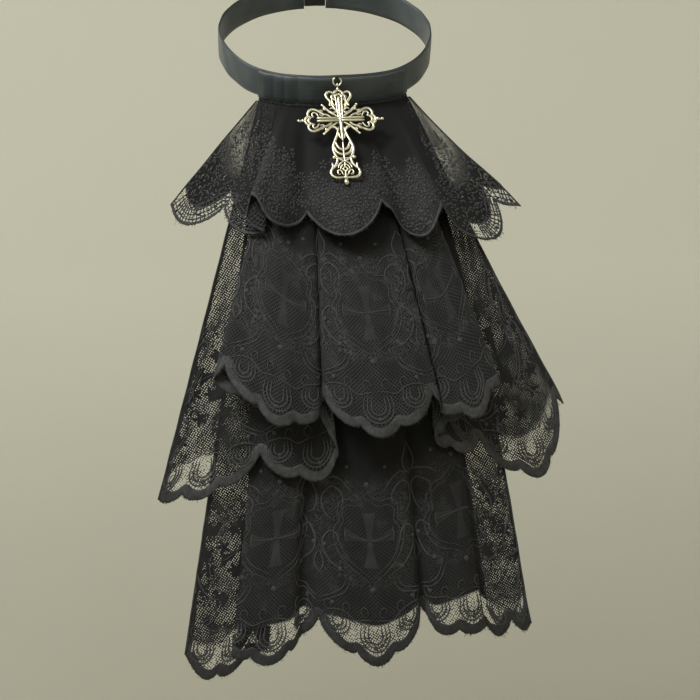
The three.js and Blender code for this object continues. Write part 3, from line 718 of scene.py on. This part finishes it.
repeat = {
    "arcs": [(0.0, -3.4, (7.6, 5.6, 3.6), 5.5), (19.3, 0.6, (6.4, 4.5, 2.6), 3.5)],
    "arcWidth": 0.56, "arcThickness": 0.3, "spokeWidth": 0.24, "spokeTurn": 13, "relief": 0.4, "fullness": 0.72,
    "beads": [(0, -9.0, 1.2), (19.3, -2.2, 1.0), (0, 19.5, 1.5), (17.5, 26, 1.3), (26, 36.5, 1.3),
              (22, 8.8, 1.2), (0, 72, 1.3), (29, 52, 1.2), (12, 78, 1.0)],
    "scrolls": [
        (0.5, 0.45, [(0, 4.6), (4.5, 4.2), (9.7, 2.6), (14.5, 5.2), (19.3, 6.0), (24.5, 5.0), (29, 2.8)]),
        (0.5, 0.4, [(29, 8), (22, 11), (15.5, 15), (12, 21)]),
        (0.5, 0.4, [(29, 10), (23, 12.6), (17, 16.6), (14, 22)]),
        (0.42, 0.4, [(0, 22), (6, 26), (13, 29), (18, 34), (20.5, 40), (20.5, 46), (17, 50), (18.5, 56),
                     (14, 61.5), (7, 62.5), (0, 68)]),
        (0.34, 0.35, [(0, 25), (5.5, 28.6), (11.5, 31.5), (16, 36), (18, 41), (18, 45.5), (14.8, 50),
                      (15.8, 55), (12.4, 59), (6.4, 60.2), (0, 64.5)]),
        (0.4, 0.4, [(-2, 44), (5, 44), (14.5, 44)]),
        (0.5, 0.4, [(13.6, 40.8), (14.4, 44), (13.6, 47.2)]),
        (0.7, 0.4, [(13, 25), (20, 27), (25.5, 32), (27, 39), (22.5, 44), (18.5, 42), (19, 38), (22.5, 37)]),
        (0.7, 0.4, [(21, 49), (26, 52.5), (27.5, 60), (22, 66), (15.5, 63.5), (15.5, 58), (19.5, 56.5)]),
        (0.5, 0.4, [(29, 66), (25, 70), (24, 76), (29, 82)]),
        (0.6, 0.4, [(29, 22), (26.5, 27), (28.5, 33)]),
        (0.6, 0.4, [(10, 66), (15, 70), (21, 71), (26, 68)]),
    ],
    "loops": [4.8, 14.5, 24.2], "loopRadius": 1.9, "loopHeight": 7.8,
}


def hemLine(tier, spacing):
    # the scalloped edge from wing to wing as (along, height), spaced evenly
    along = np.linspace(tier["low"] + 0.3, tier["high"] - 0.3, 12000)
    line = np.stack([along, -scallop(tier, along)], axis=-1)
    return spaced(line, int(runLength(line)[-1] / spacing))


def insetLine(line, inset):
    # the line moved into the cloth by its own normal, in the flat cloth
    way = unit(np.gradient(line, axis=0))
    way = unit(np.stack([np.convolve(np.pad(way[:, k], 3, "edge"), np.ones(7) / 7, "valid") for k in (0, 1)], -1))
    return line + inset * np.stack([-way[:, 1], way[:, 0]], axis=-1)


def hemBand(tier, width, thickness, material, name):
    # satin-stitched border: a lens-shaped section between the edge and its inset line
    spacing, sides = 0.55, 10
    line = hemLine(tier, spacing)
    turn = 2 * np.pi * (np.arange(sides) + 0.5) / sides
    inset = width * (0.5 - 0.5 * np.cos(turn))
    lift = thickness * np.sin(turn) * (0.75 + 0.25 * np.cos(turn))
    flat = np.stack([insetLine(line, each) for each in inset], axis=1)
    torn = chance.uniform(-1, 1, len(line)) * np.repeat(chance.uniform(0.2, 1, len(line) // 9 + 1), 9)[:len(line)]
    outward = unit(flat[:, 0] - flat[:, sides // 2])
    flat += (outward * torn[:, None] * 0.4)[:, None] * np.clip(1 - inset / width * 2.2, 0, 1)[None, :, None]
    along = np.clip(flat[..., 0], tier["low"] + 0.5, tier["high"] - 0.5)
    points = liftedLace(tier, along, flat[..., 1], lift)[0]
    return makeMesh(name, [sweep(points, np.arange(len(line))[:, None] * spacing, inset)], material)


def insidePaths(tier, paths):
    # keeps each path's longest stretch on the cloth
    kept = []
    for width, thickness, path in paths:
        inside = (path[:, 0] > tier["low"] + 0.8) & (path[:, 0] < tier["high"] - 0.8)
        inside &= path[:, 1] < 0.9 * tier["length"]
        runs = np.flatnonzero(np.diff(np.concatenate([[0], inside.astype(int), [0]])))
        if len(runs) == 0:
            continue
        ends = runs.reshape(-1, 2)
        first, last = ends[np.argmax(ends[:, 1] - ends[:, 0])]
        if last - first > 3:
            kept.append((width, thickness, path[first:last]))
    return kept


def cordShells(tier, paths, steps, sides):
    # every path resampled to the same number of points, laid on the cloth and swept
    kept = insidePaths(tier, paths)
    share = np.linspace(0, 1, steps)
    flat = np.stack([
        np.stack([np.interp(share, np.linspace(0, 1, len(path)), path[:, k]) for k in (0, 1)], axis=-1)
        for width, thickness, path in kept
    ])
    points, normals = liftedLace(tier, flat[..., 0], flat[..., 1], 0.12)
    taper = np.minimum(1, 0.35 + 3.2 * np.minimum(share, 1 - share))
    width = np.array([each[0] for each in kept])[:, None] * taper
    thickness = np.array([each[1] for each in kept])[:, None] * taper
    return tubes(points, normals, width, thickness, sides)


def edgeThreads(tier, name, material, hairs=320, cord=0.42):
    # a cord down both side edges, and loose thread ends of one or two millimetres along the hem
    paths = []
    for side in (tier["low"] + 0.5, tier["high"] - 0.5):
        place = np.interp(side, tier["lengths"], tier["places"])
        top = smoothRows(tier["table"], place)[3] * tier["length"]
        height = np.linspace(top - 0.5, -scallop(tier, side), 90)
        paths.append(np.stack([side + 0.15 * np.sin(height / 3.3), height], axis=-1))
    flat = np.stack(paths)
    points, normals = liftedLace(tier, flat[..., 0], flat[..., 1])
    edges = tubes(points, normals, cord, cord, 6)
    line = hemLine(tier, 0.5)
    outward = line - insetLine(line, 1.0)
    starts = chance.integers(4, len(line) - 4, hairs)
    share = np.linspace(-0.3, 1, 6)[:, None]
    length = chance.uniform(0.25, 0.8, hairs)[:, None, None]
    bend = chance.normal(0, 0.6, (hairs, 1, 2))
    flat = line[starts][:, None] + length * (share * outward[starts][:, None] + share ** 2 * bend)
    flat[..., 0] = np.clip(flat[..., 0], tier["low"] + 0.3, tier["high"] - 0.3)
    points, normals = liftedLace(tier, flat[..., 0], flat[..., 1])
    return makeMesh(name, [edges, tubes(points, normals, 0.09, 0.09, 4)], material)


def beadShells(tier, beads, lift, rise, sides=8, rows=4):
    # knots on the cloth, none near its sides or its head; rise is a knot's height as a share of its radius
    beads = np.array(beads)
    beads = beads[(beads[:, 0] > tier["low"] + 2) & (beads[:, 0] < tier["high"] - 2)]
    beads = beads[beads[:, 1] < 0.85 * tier["length"]]
    centres, normals = liftedLace(tier, beads[:, 0], beads[:, 1], lift)
    return domes(centres, normals, beads[:, 2], beads[:, 2] * rise, sides, rows)


def embroidery(tier, material, name):
    # both halves of each repeat, side by side along the hem
    first = math.floor(tier["low"] / tier["pitch"]) - 1
    last = math.ceil(tier["high"] / tier["pitch"]) + 1
    fine, scrolls, beads = [], [], []
    half = np.linspace(-np.pi, 0, 15)
    bottom = np.stack([np.cos(half), np.sin(half)], axis=-1)
    circle = np.linspace(-0.6, 2 * np.pi - 0.6, 19)
    loop = np.stack([np.cos(circle), 1.3 * np.sin(circle)], axis=-1) * repeat["loopRadius"]
    for number in range(first, last + 1):
        middle = number * tier["pitch"]
        for side in (1, -1):
            for x, y, radii, straight in repeat["arcs"]:
                if x == 0 and side == -1:
                    continue
                centre = (middle + side * x, y)
                for radius in radii:
                    top = radius * 0.86
                    path = smoothPath([(-top, straight), *(radius * bottom), (top, straight)], 26)
                    fine.append((repeat["arcWidth"], repeat["arcThickness"], path + centre))
                for angle in np.radians(np.arange(-165, -10, repeat["spokeTurn"])):
                    way = np.array([math.cos(angle), math.sin(angle)])
                    spoke = np.linspace(radii[2], radii[0] + 2.0, 6)[:, None] * way
                    fine.append((repeat["spokeWidth"], repeat["arcThickness"], spoke + centre))
            for x in repeat["loops"]:
                fine.append((0.3, 0.3, loop + (middle + side * x, repeat["loopHeight"])))
            for width, thickness, points in repeat["scrolls"]:
                path = smoothPath(points, 40) * (side, 1) + (middle, 0)
                scrolls.append((width * repeat["fullness"], thickness * repeat["relief"], path))
            for x, y, radius in repeat["beads"]:
                if x == 0 and side == -1:
                    continue
                beads.append((middle + side * x, y, radius))
    parts = [cordShells(tier, fine, 20, 4), cordShells(tier, scrolls, 26, 6), beadShells(tier, beads, 0.1, 0.3)]
    return makeMesh(name, parts, material)


def petals(x, y, count, inner, outer, turn):
    # a flower: petals that start at the inner radius and end at the outer one
    paths = []
    for k in range(count):
        angle = turn + 2 * math.pi * k / count
        way = np.array([math.cos(angle), math.sin(angle)])
        paths.append(np.linspace(inner, outer, 8)[:, None] * way + (x, y))
    return paths


def topEmbroidery(tier, material, name):
    # rows of flowers over a ladder border: lines that follow the edge, and rungs between them
    line = hemLine(tier, 1.0)
    place = np.interp(line[:, 0], tier["lengths"], tier["places"])
    wings = (place < tier["lined"][0] + 0.9) | (place > tier["lined"][1] + 0.2)
    paths = []
    for inset in (2.3, 4.2, 6.1, 8.0):
        flat = insetLine(line, inset)
        for start in range(0, len(flat) - 6, 12):
            if wings[start]:
                paths.append((0.42, 0.32, flat[start:start + 14]))
    outer, inner = insetLine(line, 0.4), insetLine(line, 8.2)
    for k in np.flatnonzero(wings)[1:-1:2]:
        rung = np.linspace(0, 1, 6)[:, None]
        paths.append((0.36, 0.28, outer[k] * (1 - rung) + inner[k] * rung))
    flowers, beads = [], []
    spacing = tier["pitch"] / 7
    for row, y in enumerate((-8.6, -3.8, 1.0, 5.8, 10.6, 15.4, 20.2, 25.0, 29.8, 34.6)):
        xs = np.arange(tier["low"] - spacing, tier["high"] + spacing, spacing)
        xs = xs + spacing * (0.5 * (row % 2)) + chance.uniform(-0.9, 0.9, len(xs))
        for x in xs:
            phase = math.cos(2 * math.pi * x / tier["pitch"])
            lift = 1.5 * phase if row > 2 else 4.0 * (0.5 - 0.5 * phase)
            onWing = not tier["lined"][0] + 0.9 < np.interp(x, tier["lengths"], tier["places"]) < tier["lined"][1]
            fromSide = min(x - tier["low"], tier["high"] - x)
            sparse = fromSide < 0.3 * y if onWing else chance.uniform() < 0.35 * (row - 5)
            if row > 5 and sparse or scallop(tier, x) + y < (7 if onWing else 3):
                continue
            turn, size = chance.uniform(0, 1), chance.uniform(2.1, 2.9)
            lift = lift + chance.uniform(-0.6, 0.6)
            for path in petals(x, y + lift, 5, 0.8, size, turn):
                flowers.append((0.7, 0.14, path))
            beads.append((x, y + lift, 0.5))
    parts = [cordShells(tier, paths, 8, 4), cordShells(tier, flowers, 6, 4),
             beadShells(tier, beads, 0.15, 0.5, 6, 2)]
    return makeMesh(name, parts, material)


# Cross pendant, in its own plane: x across, z along, front towards -y

cross = {
    "eye": (0.0, -55.845, -33.859), "lean": math.radians(25.9227),
    "halfSpan": 22.6, "drop": 39.5, "hang": 21.4,
    "wire": 0.72, "fineShare": 0.66, "wireDepth": 0.68,
    "wireSteps": 22, "eyeRadius": 1.15, "eyeWire": 0.4,
}
forward = np.array([0.0, -1.0, 0.0])
crossWires = [  # half of the outline, right of the middle: x as a share of halfSpan, z of drop
    [(0.05, 0.13), (0.11, 0.173), (0.2, 0.288), (0.288, 0.373), (0.261, 0.429), (0.186, 0.443), (0.08, 0.4)],
    [(0.08, 0.31), (0.145, 0.336), (0.155, 0.371), (0.1, 0.39)],
    [(0.19, 0.28), (0.217, 0.22)],
    [(0.0, 0.464), (0.053, 0.453), (0.12, 0.41)],
    [(0.0, 0.41), (0.07, 0.38), (0.075, 0.34)],
    [(0.06, 0.05), (0.25, 0.14), (0.4, 0.237)],
    [(0.05, 0.15), (0.12, 0.12), (0.19, 0.118), (0.25, 0.145)],
    [(0.2, 0.03), (0.29, 0.077), (0.41, 0.104), (0.518, 0.152), (0.637, 0.176), (0.725, 0.141),
     (0.748, 0.085), (0.69, 0.05), (0.61, 0.065)],
    [(0.51, 0.147), (0.39, 0.147)],
    [(0.2, -0.03), (0.29, -0.077), (0.41, -0.104), (0.518, -0.14), (0.637, -0.166), (0.725, -0.144),
     (0.752, -0.09), (0.69, -0.05), (0.61, -0.06)],
    [(0.51, -0.137), (0.4, -0.117)],
    [(0.735, 0.077), (0.796, 0.037), (0.814, 0.0), (0.796, -0.037), (0.735, -0.077)],
    [(0.68, 0.048), (0.725, 0.024), (0.734, 0.0), (0.725, -0.024), (0.68, -0.048)],
    [(0.8, 0.0), (0.97, 0.0)],
    [(0.06, -0.03), (0.23, -0.101), (0.41, -0.213)],
    [(0.23, -0.105), (0.14, -0.112), (0.095, -0.155)],
    [(0.06, -0.11), (0.11, -0.227), (0.172, -0.32), (0.23, -0.421), (0.217, -0.501), (0.155, -0.576),
     (0.0, -0.645)],
    [(0.165, -0.345), (0.106, -0.427), (0.0, -0.469)],
    [(0.215, -0.41), (0.15, -0.496), (0.0, -0.544)],
    [(0.15, -0.57), (0.217, -0.579)],
    [(0.155, -0.576), (0.173, -0.656), (0.239, -0.72), (0.29, -0.75)],
    [(0.283, -0.664), (0.274, -0.72), (0.327, -0.784), (0.32, -0.837), (0.248, -0.875), (0.124, -0.883),
     (0.0, -0.88)],
]
crossCurls = [  # the finer wires inside it
    [(0.0, -0.643), (0.08, -0.66), (0.135, -0.7), (0.16, -0.745)],
    [(0.0, -0.684), (0.052, -0.696), (0.092, -0.726), (0.105, -0.76)],
    [(0.0, -0.722), (0.05, -0.757), (0.0, -0.8)],
    [(0.0, -0.85), (0.06, -0.835), (0.09, -0.79), (0.14, -0.768), (0.18, -0.795), (0.16, -0.835),
     (0.115, -0.835)],
    [(0.5, 0.05), (0.55, 0.11), (0.62, 0.12), (0.65, 0.08), (0.61, 0.06)],
    [(0.5, -0.05), (0.55, -0.1), (0.62, -0.115), (0.65, -0.08), (0.61, -0.06)],
    [(0.36, 0.1), (0.42, 0.07), (0.48, 0.09)], [(0.36, -0.1), (0.42, -0.07), (0.48, -0.08)],
    [(0.12, 0.16), (0.17, 0.19), (0.22, 0.17)], [(0.1, 0.22), (0.15, 0.27), (0.16, 0.33)],
    [(0.3, 0.17), (0.35, 0.16), (0.37, 0.19)], [(0.3, -0.14), (0.35, -0.13), (0.37, -0.16)],
    [(0.08, -0.2), (0.05, -0.27), (0.0, -0.3)], [(0.0, -0.6), (0.06, -0.59), (0.12, -0.6)],
]
crossStems = [[(0, -0.3), (0, -0.66)], [(0, -0.66), (0, -0.72)], [(0, -0.78), (0, -0.95)]]
crossBeads = [  # right of the middle, or in it: x, z, radius in millimetres, stretch along z
    (0.4, 0.237, 0.75, 1), (0.41, -0.213, 0.75, 1), (0.865, 0, 1.15, 1), (0.965, 0, 0.95, 1),
    (0.225, -0.579, 1.15, 1), (0, -0.888, 1.4, 1), (0, -0.955, 1.4, 1.3), (0, 0.487, 0.95, 1), (0.36, 0.0, 0.9, 1),
]


def crossFlat(points):
    # x times the half span, z times the drop and less the hang
    points = np.asarray(points, dtype=float)
    return np.stack([points[..., 0] * cross["halfSpan"], 0 * points[..., 0],
                     points[..., 1] * cross["drop"] - cross["hang"]], axis=-1)


def hang(points):
    # from the cross's own plane to its place: turned by the lean about x, then moved to the eye
    c, s = math.cos(cross["lean"]), math.sin(cross["lean"])
    turned = np.stack([points[..., 0], points[..., 1] * c + points[..., 2] * s,
                       -points[..., 1] * s + points[..., 2] * c], axis=-1)
    return turned + cross["eye"]


def sideways(start, end):
    # across a bar, in the plane of the cross
    way = unit(np.array(end) - np.array(start))
    return np.array([-way[2], 0, way[0]])


def castBar(start, end, startWidth, endWidth, depth=1.5, steps=9, sides=24):
    # flat bar with rounded sides, its half width and half depth swept from start to end
    turn = 2 * np.pi * np.arange(sides) / sides
    share = np.linspace(0, 1, steps)[:, None]
    width = (startWidth + (endWidth - startWidth) * share) / 2
    width[[0, -1]] *= 0.8
    deep = np.full((steps, 1), depth / 2)
    deep[[0, -1]] *= 0.7
    across = np.sign(np.cos(turn)) * np.abs(np.cos(turn)) ** 0.5
    points = ((np.array(start) * (1 - share) + np.array(end) * share)[:, None]
              + (across * width)[..., None] * sideways(start, end) + (np.sin(turn) * deep)[..., None] * forward)
    return sweep(points, share * 10, turn)


def castRods(start, end, gaps, count, radius, lift, steps=12):
    # ribs that stand on a bar: rods side by side, from the first gap and radius to the second
    share = np.linspace(0, 1, steps)[:, None]
    offset = (np.arange(count) - (count - 1) / 2)[:, None, None] * (gaps[0] * (1 - share) + gaps[1] * share)
    paths = start * (1 - share) + end * share + offset * sideways(start, end) + lift * forward
    swell = (radius[0] * (1 - share) + radius[1] * share) * np.minimum(1, 0.5 + 4 * np.minimum(share, 1 - share))
    return tubes(paths, np.broadcast_to(forward, paths.shape), swell[:, 0], swell[:, 0], 10)


def ringShell(radius, wire, turn, around=40, sides=10):
    # torus: (radius + wire * cos b) * (cos a, sin a), wire * sin b across its plane
    a = 2 * np.pi * np.arange(around + 1) / around
    b = 2 * np.pi * np.arange(sides) / sides
    flat = radius + wire * np.cos(b)[None]
    lay = [flat * np.cos(a)[:, None], flat * np.sin(a)[:, None], wire * np.sin(b)[None] + 0 * a[:, None]]
    order = {"x": (2, 0, 1), "y": (0, 2, 1)}[turn]
    points = np.stack([lay[k] for k in order], axis=-1)
    quads = gridFaces(around + 1, sides, closeDown=True)
    return faceOutward(points, quads, together(a[:, None] * radius, b))


def goldMaterial():
    # pale worn brass on what stands forward, dark olive in the hollows, by the polish attribute
    material, tree, shader = newMaterial("antiqueGold", Metallic=1.0, Roughness=0.3)
    place = objectPlace(tree)
    grain, patch = noise(place, 1400.0, 3.0), noise(place, 260.0, 2.0)
    tone = plus(carried(tree, "polish"), times(minus(patch, 0.5), 0.5))
    bright = ramp(plus(tone, times(minus(grain, 0.5), 0.35)), 0.35, 0.8)
    feed(shader, "Base Color", blendColor(bright, (0.05, 0.046, 0.022, 1), (0.78, 0.74, 0.55, 1)))
    feed(shader, "Roughness", minus(0.6, times(bright, 0.26)))
    bump(shader, grain, 0.25, 0.0001)
    return material


def polish(piece, normalFront, worn=1.0):
    # how far each point of the cast faces forward, from 0 at the sides to 1 at the front,
    # times how far its own part stands out
    mesh = piece.data
    normals = np.empty(len(mesh.vertices) * 3)
    mesh.vertices.foreach_get("normal", normals)
    facing = np.abs(normals.reshape(-1, 3) @ normalFront)
    layer = mesh.attributes.new("polish", "FLOAT", "POINT")
    layer.data.foreach_set("value", (np.clip(0.1 + 1.1 * facing, 0, 1) * worn).astype(np.float32))


def castCross(material):
    # wires with their mirror images, stems, beads, rods on three bars, which are duller, and the eye
    steps = cross["wireSteps"]
    flat = [smoothPath(np.array(wire) * (side, 1), steps) for wire in crossWires + crossCurls for side in (1, -1)]
    flat += [smoothPath(stem, steps) for stem in crossStems]
    paths = crossFlat(np.stack(flat))
    swell = cross["wire"] * (0.8 + 0.35 * np.sin(np.pi * np.linspace(0, 1, steps)))
    swell = swell * np.where(np.arange(len(flat)) < 2 * len(crossWires), 1, cross["fineShare"])[:, None]
    parts = [tubes(paths, np.broadcast_to(forward, paths.shape), swell, cross["wireDepth"], 8)]
    for x, z, radius, stretch in crossBeads:
        for side in (1, -1) if x else (1,):
            centre = crossFlat([[side * x, z]])
            points, quads, uv = domes(centre, forward[None], radius, radius, 12, 8)
            parts.append(((points - centre) * (1, 1, stretch) + centre, quads, uv))
    up, down, middle, stemTop = crossFlat([(0, 0.36), (0, -0.35), (0, 0), (0, 0.45)])
    left, right = crossFlat([(-0.55, 0), (0.55, 0)])
    eyeStem = smoothPath([(0, 0, -cross["eyeRadius"]), stemTop], 6)[None]
    parts += [
        castRods(up, middle, (0, 0), 1, (1.1, 0.8), 0.6),
        castRods(up, middle, (3.3, 2.2), 2, (0.5, 0.42), 0.7),
        castRods(middle, down, (0, 0), 1, (1.15, 0.5), 0.6),
        castRods(left, middle, (1.75, 1.4), 2, (0.86, 0.7), 0.8),
        castRods(right, middle, (1.75, 1.4), 2, (0.86, 0.7), 0.8),
        domes(middle[None] + 0.8 * forward, forward[None], 1.3, 0.8, 16, 6),
        tubes(eyeStem, np.broadcast_to(forward, eyeStem.shape), 0.5, 0.5, 8),
        ringShell(cross["eyeRadius"], cross["eyeWire"], "x", 28),
    ]
    bars = [castBar(up, middle, 4.4, 2.6), castBar(middle, down, 3.2, 1.6), castBar(left, right, 3.5, 3.5)]
    piece = makeMesh("castCross", [(hang(points), quads, uv) for points, quads, uv in parts + bars], material)
    worn = [np.full(part[0].size // 3, 1.0) for part in parts] + [np.full(part[0].size // 3, 0.3) for part in bars]
    polish(piece, hang(forward) - hang(0 * forward), np.concatenate(worn))
    return piece


# Ring, thread and stitches

ring = {"radius": 2.15, "wire": 0.45, "top": (0.0, -55.845, -29.559)}
stitches = {"spread": 24.0, "thread": 0.21, "length": 2.1, "gap": 1.1, "radius": 0.17, "height": -6.6}


def jumpRing(material):
    points, quads, uv = ringShell(ring["radius"], ring["wire"], "y", 56, 12)
    piece = makeMesh("jumpRing", [(points + ring["top"] - np.array([0, 0, ring["radius"]]), quads, uv)], material)
    polish(piece, forward)
    return piece


def ringThread(material):
    # turns of thread round the top of the ring, each an oval that reaches back to the band's edge,
    # the outer turns looser so that the ring can sway in them
    parts = []
    for k, angle in enumerate(np.radians(np.linspace(-stitches["spread"], stitches["spread"], 6))):
        looser = 0.86 + 0.04 * (k % 2) + 0.13 * abs(k - 2.5) / 2.5
        points, quads, uv = ringShell(looser, stitches["thread"], "x", 20, 6)
        points = points * (1, 1.45, 1) + (0, 0.42, 0)
        x = points[..., 0] * math.cos(angle) + points[..., 2] * math.sin(angle)
        z = points[..., 2] * math.cos(angle) - points[..., 0] * math.sin(angle)
        centre = np.array([math.sin(angle), 0, math.cos(angle) - 1]) * ring["radius"]
        points = np.stack([x, points[..., 1], z], axis=-1) + centre + ring["top"]
        parts.append((points, quads, uv))
    return makeMesh("ringThread", parts, material)


def bandStitches(material):
    # short dashes along the band's lower edge, each a little tube over the front face
    pitch = stitches["length"] + stitches["gap"]
    starts = np.arange(-band["width"] / 2 + 3, band["width"] / 2 - 3, pitch)
    along = starts[:, None] + np.linspace(0, stitches["length"], 5)[None]
    angle = np.arcsin(along / band["radius"])
    rise = band["thickness"] + lapStep(along) + 0.1 - 0.25 * np.abs(np.linspace(-1, 1, 5)) ** 3
    height = stitches["height"] + 0.15 * np.sin(starts * 1.7)[:, None]
    paths = neckPoint(angle, band["radius"] + rise, height + 0 * angle)
    normals = neckPoint(angle, band["radius"] + 5, height) - neckPoint(angle, band["radius"], height)
    return makeMesh("bandStitches", [tubes(paths, normals, stitches["radius"], stitches["radius"])], material)


def claspMaterial():
    # black plastic with a fine mould grain
    material, tree, shader = newMaterial("claspPlastic", Roughness=0.38)
    mould = noise(objectPlace(tree), 900.0, 4.0)
    feed(shader, "Base Color", blendColor(mould, (0.009, 0.009, 0.01, 1), (0.02, 0.02, 0.021, 1)))
    bump(shader, mould, 0.3, 0.0002)
    return material


# Making everything

satin = satinMaterial()
netOfPanels = {
    "pitch": 1.1, "uneven": 0.3, "flower": (11.5, 2.8, 1.15), "hole": (0.18, 0.34), "patch": 0.11,
    "wholeBorder": True, "border": (2.0, 5.0), "borderHole": 0.22, "closer": (90.0, 150.0, 0.13),
    "dense": -50.0, "denseFade": 0.0, "closed": (0.6, 0.64), "clear": (18.0, 26.0),
    "lattice": 1.4, "latticeTone": 0.74, "motifTop": (66.0, 80.0),
    "foldShade": 0.5, "curls": 8.0, "curlScale": 0.17, "curlTone": 1.0, "curlsFrom": (16.0, 22.0),
    "repeat": 58.0, "medallion": (17.0, 21.0, 44.0), "crossDown": (1.5, 13.5), "crossOver": (0.8, 14.5),
}
fineNet = netMaterial("fineNet", netOfPanels)
# the bottom tier's net: smaller holes, and dimmer lattice and curl tones that paint the shade of the tiers above
# onto the same lace
shadedLowerNet = netMaterial("shadedLowerNet", {**netOfPanels, "hole": (0.14, 0.3), "latticeTone": 0.52, "curlTone": 0.7})
topNet = netMaterial("topNet", {
    "pitch": 0.7, "uneven": 0.4, "flower": None, "hole": (0.19, 0.34), "patch": 0.09,
    "wholeBorder": False, "border": (7.4, 8.4), "borderHole": 0.6, "closer": (0.0, 1.0, 0.0),
    "dense": 34.0, "denseFade": 0.03, "closed": (0.46, 0.52), "clear": (7.6, 9.0),
    "lattice": 0.9, "latticeTone": 0.3, "motifTop": (12.0, 26.0),
    "foldShade": 0.85, "curls": 7.0, "curlScale": 0.3, "curlTone": 0.95, "curlsFrom": (-40.0, -39.0),
    "medallion": None,
})
nets = {"topRuffle": topNet, "middleRuffle": fineNet, "bottomRuffle": shadedLowerNet}
hemThread = threadMaterial("hemThread", (0.022, 0.022, 0.0225, 1), (0.047, 0.047, 0.048, 1), 0.5)
# a darker copy of the hem thread: painted shade for the bottom hem under the tiers above; the seam at the band's
# lower edge uses it too
shadedThread = threadMaterial("shadedThread", (0.012, 0.012, 0.0125, 1), (0.026, 0.026, 0.0265, 1), 0.5)
fineThread = threadMaterial("fineThread", (0.028, 0.028, 0.029, 1), (0.052, 0.052, 0.054, 1), 0.45)
gold = goldMaterial()

ribbonPiece = neckRibbon(satin)
bandPiece = bandPanel(satin)
seamPiece = bandSeam(shadedThread)
print("ribbons made")
sheets = {tier["name"]: laceSheet(tier, nets[tier["name"]]) for tier in tiers}
print("lace sheets made")
hems = {
    "topRuffle": hemBand(topTier, 1.3, 0.4, hemThread, "topHem"),
    "middleRuffle": hemBand(middleTier, 5.2, 0.3, hemThread, "middleHem"),
    "bottomRuffle": hemBand(bottomTier, 5.2, 0.35, shadedThread, "bottomHem"),
}
print("hems made")
threads = {
    "topRuffle": topEmbroidery(topTier, fineThread, "topEmbroidery"),
    "middleRuffle": embroidery(middleTier, fineThread, "middleEmbroidery"),
    "bottomRuffle": embroidery(bottomTier, fineThread, "bottomEmbroidery"),
}
edges = {tier["name"]: edgeThreads(tier, tier["name"].replace("Ruffle", "Edges"), hemThread) for tier in tiers}
print("embroidery made")
crossPiece = castCross(gold)
ringPiece = jumpRing(gold)
threadPiece = ringThread(hemThread)
stitchPiece = bandStitches(fineThread)
print("cross, ring and stitches made")
clasp = frame["nodes"]["back_clasp"]
clasp.data.materials.clear()
clasp.data.materials.append(claspMaterial())

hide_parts("neck_strap")
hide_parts("front_band")
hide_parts("top_ruffle")
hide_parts("middle_ruffle")
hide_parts("bottom_ruffle")
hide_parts("cross_pendant")
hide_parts("jump_ring")
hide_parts("ring_stitch")
for piece in (ribbonPiece, bandPiece, seamPiece, threadPiece, stitchPiece, *sheets.values(), *hems.values(),
              *threads.values(), *edges.values()):
    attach(piece, "jabot")
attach(crossPiece, "cross")
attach(ringPiece, "ring")

for tier in tiers:
    name = tier["name"]
    mesh = sheets[name].data
    area = np.empty(len(mesh.polygons))
    mesh.polygons.foreach_get("area", area)

# Stage: a pale floor that curves up into a pale wall, and soft light

stage = {"floor": -0.75, "radius": 2.7, "curve": 0.8, "top": 2.6}


def paleStage():
    # round room: floor, quarter circle and wall as one profile, turned about the upright axis
    bend = np.linspace(0, np.pi / 2, 20)
    out = np.concatenate([[0.001, 0.8], stage["radius"] - stage["curve"] + stage["curve"] * np.sin(bend),
                          [stage["radius"]]])
    up = np.concatenate([[0, 0], stage["curve"] * (1 - np.cos(bend)), [stage["top"]]]) + stage["floor"]
    turn = np.linspace(0, 2 * np.pi, 97)
    points = together(out * np.cos(turn)[:, None], out * np.sin(turn)[:, None], up) * 1000
    material, tree, shader = newMaterial("paleWall", Roughness=0.85)
    place = objectPlace(tree)
    tone = plus(ramp(split(place)["Z"], stage["floor"], 0.2), times(noise(place, 1.3, 2.0), 0.25))
    feed(shader, "Base Color", blendColor(tone, (0.45, 0.435, 0.355, 1), (0.66, 0.65, 0.55, 1)))
    return makeMesh("paleStage", [(points, gridFaces(len(turn), len(out)), points[..., :2])], material)


def softLight(name, place, target, size, power, color):
    # a round light that shines from its place towards the target, its back axis being place - target
    data = bpy.data.lights.new(name, "AREA")
    data.shape = "DISK"
    data.size = size
    data.energy = power
    data.color = color
    away = unit(np.array(place) - np.array(target))
    right = unit(np.cross([0, 0, 1.0], away))
    addObject(name, data, (right, np.cross(away, right), away, place))


paleStage()
softLight("windowLight", (-1.3, -1.1, 1.75), (0, 0, -0.15), 0.9, 52, (0.96, 0.98, 1.0))
softLight("roomLight", (1.6, -1.2, 0.5), (0, 0, -0.15), 1.2, 5, (1.0, 0.93, 0.78))
softLight("glintLight", (-0.2, -1.5, 1.2), (0, 0, -0.08), 0.45, 5, (1.0, 0.99, 0.95))
softLight("wallLight", (-1.1, 0.3, 1.5), (-0.5, 2.7, -0.2), 1.6, 22, (1.0, 0.99, 0.93))
world = bpy.data.worlds.new("softRoom")
world.use_nodes = True
world.node_tree.nodes["Background"].inputs[0].default_value = (0.86, 0.86, 0.8, 1)
world.node_tree.nodes["Background"].inputs[1].default_value = 0.2
bpy.context.scene.world = world
bpy.context.scene.view_settings.view_transform = "Standard"
print("stage lit")
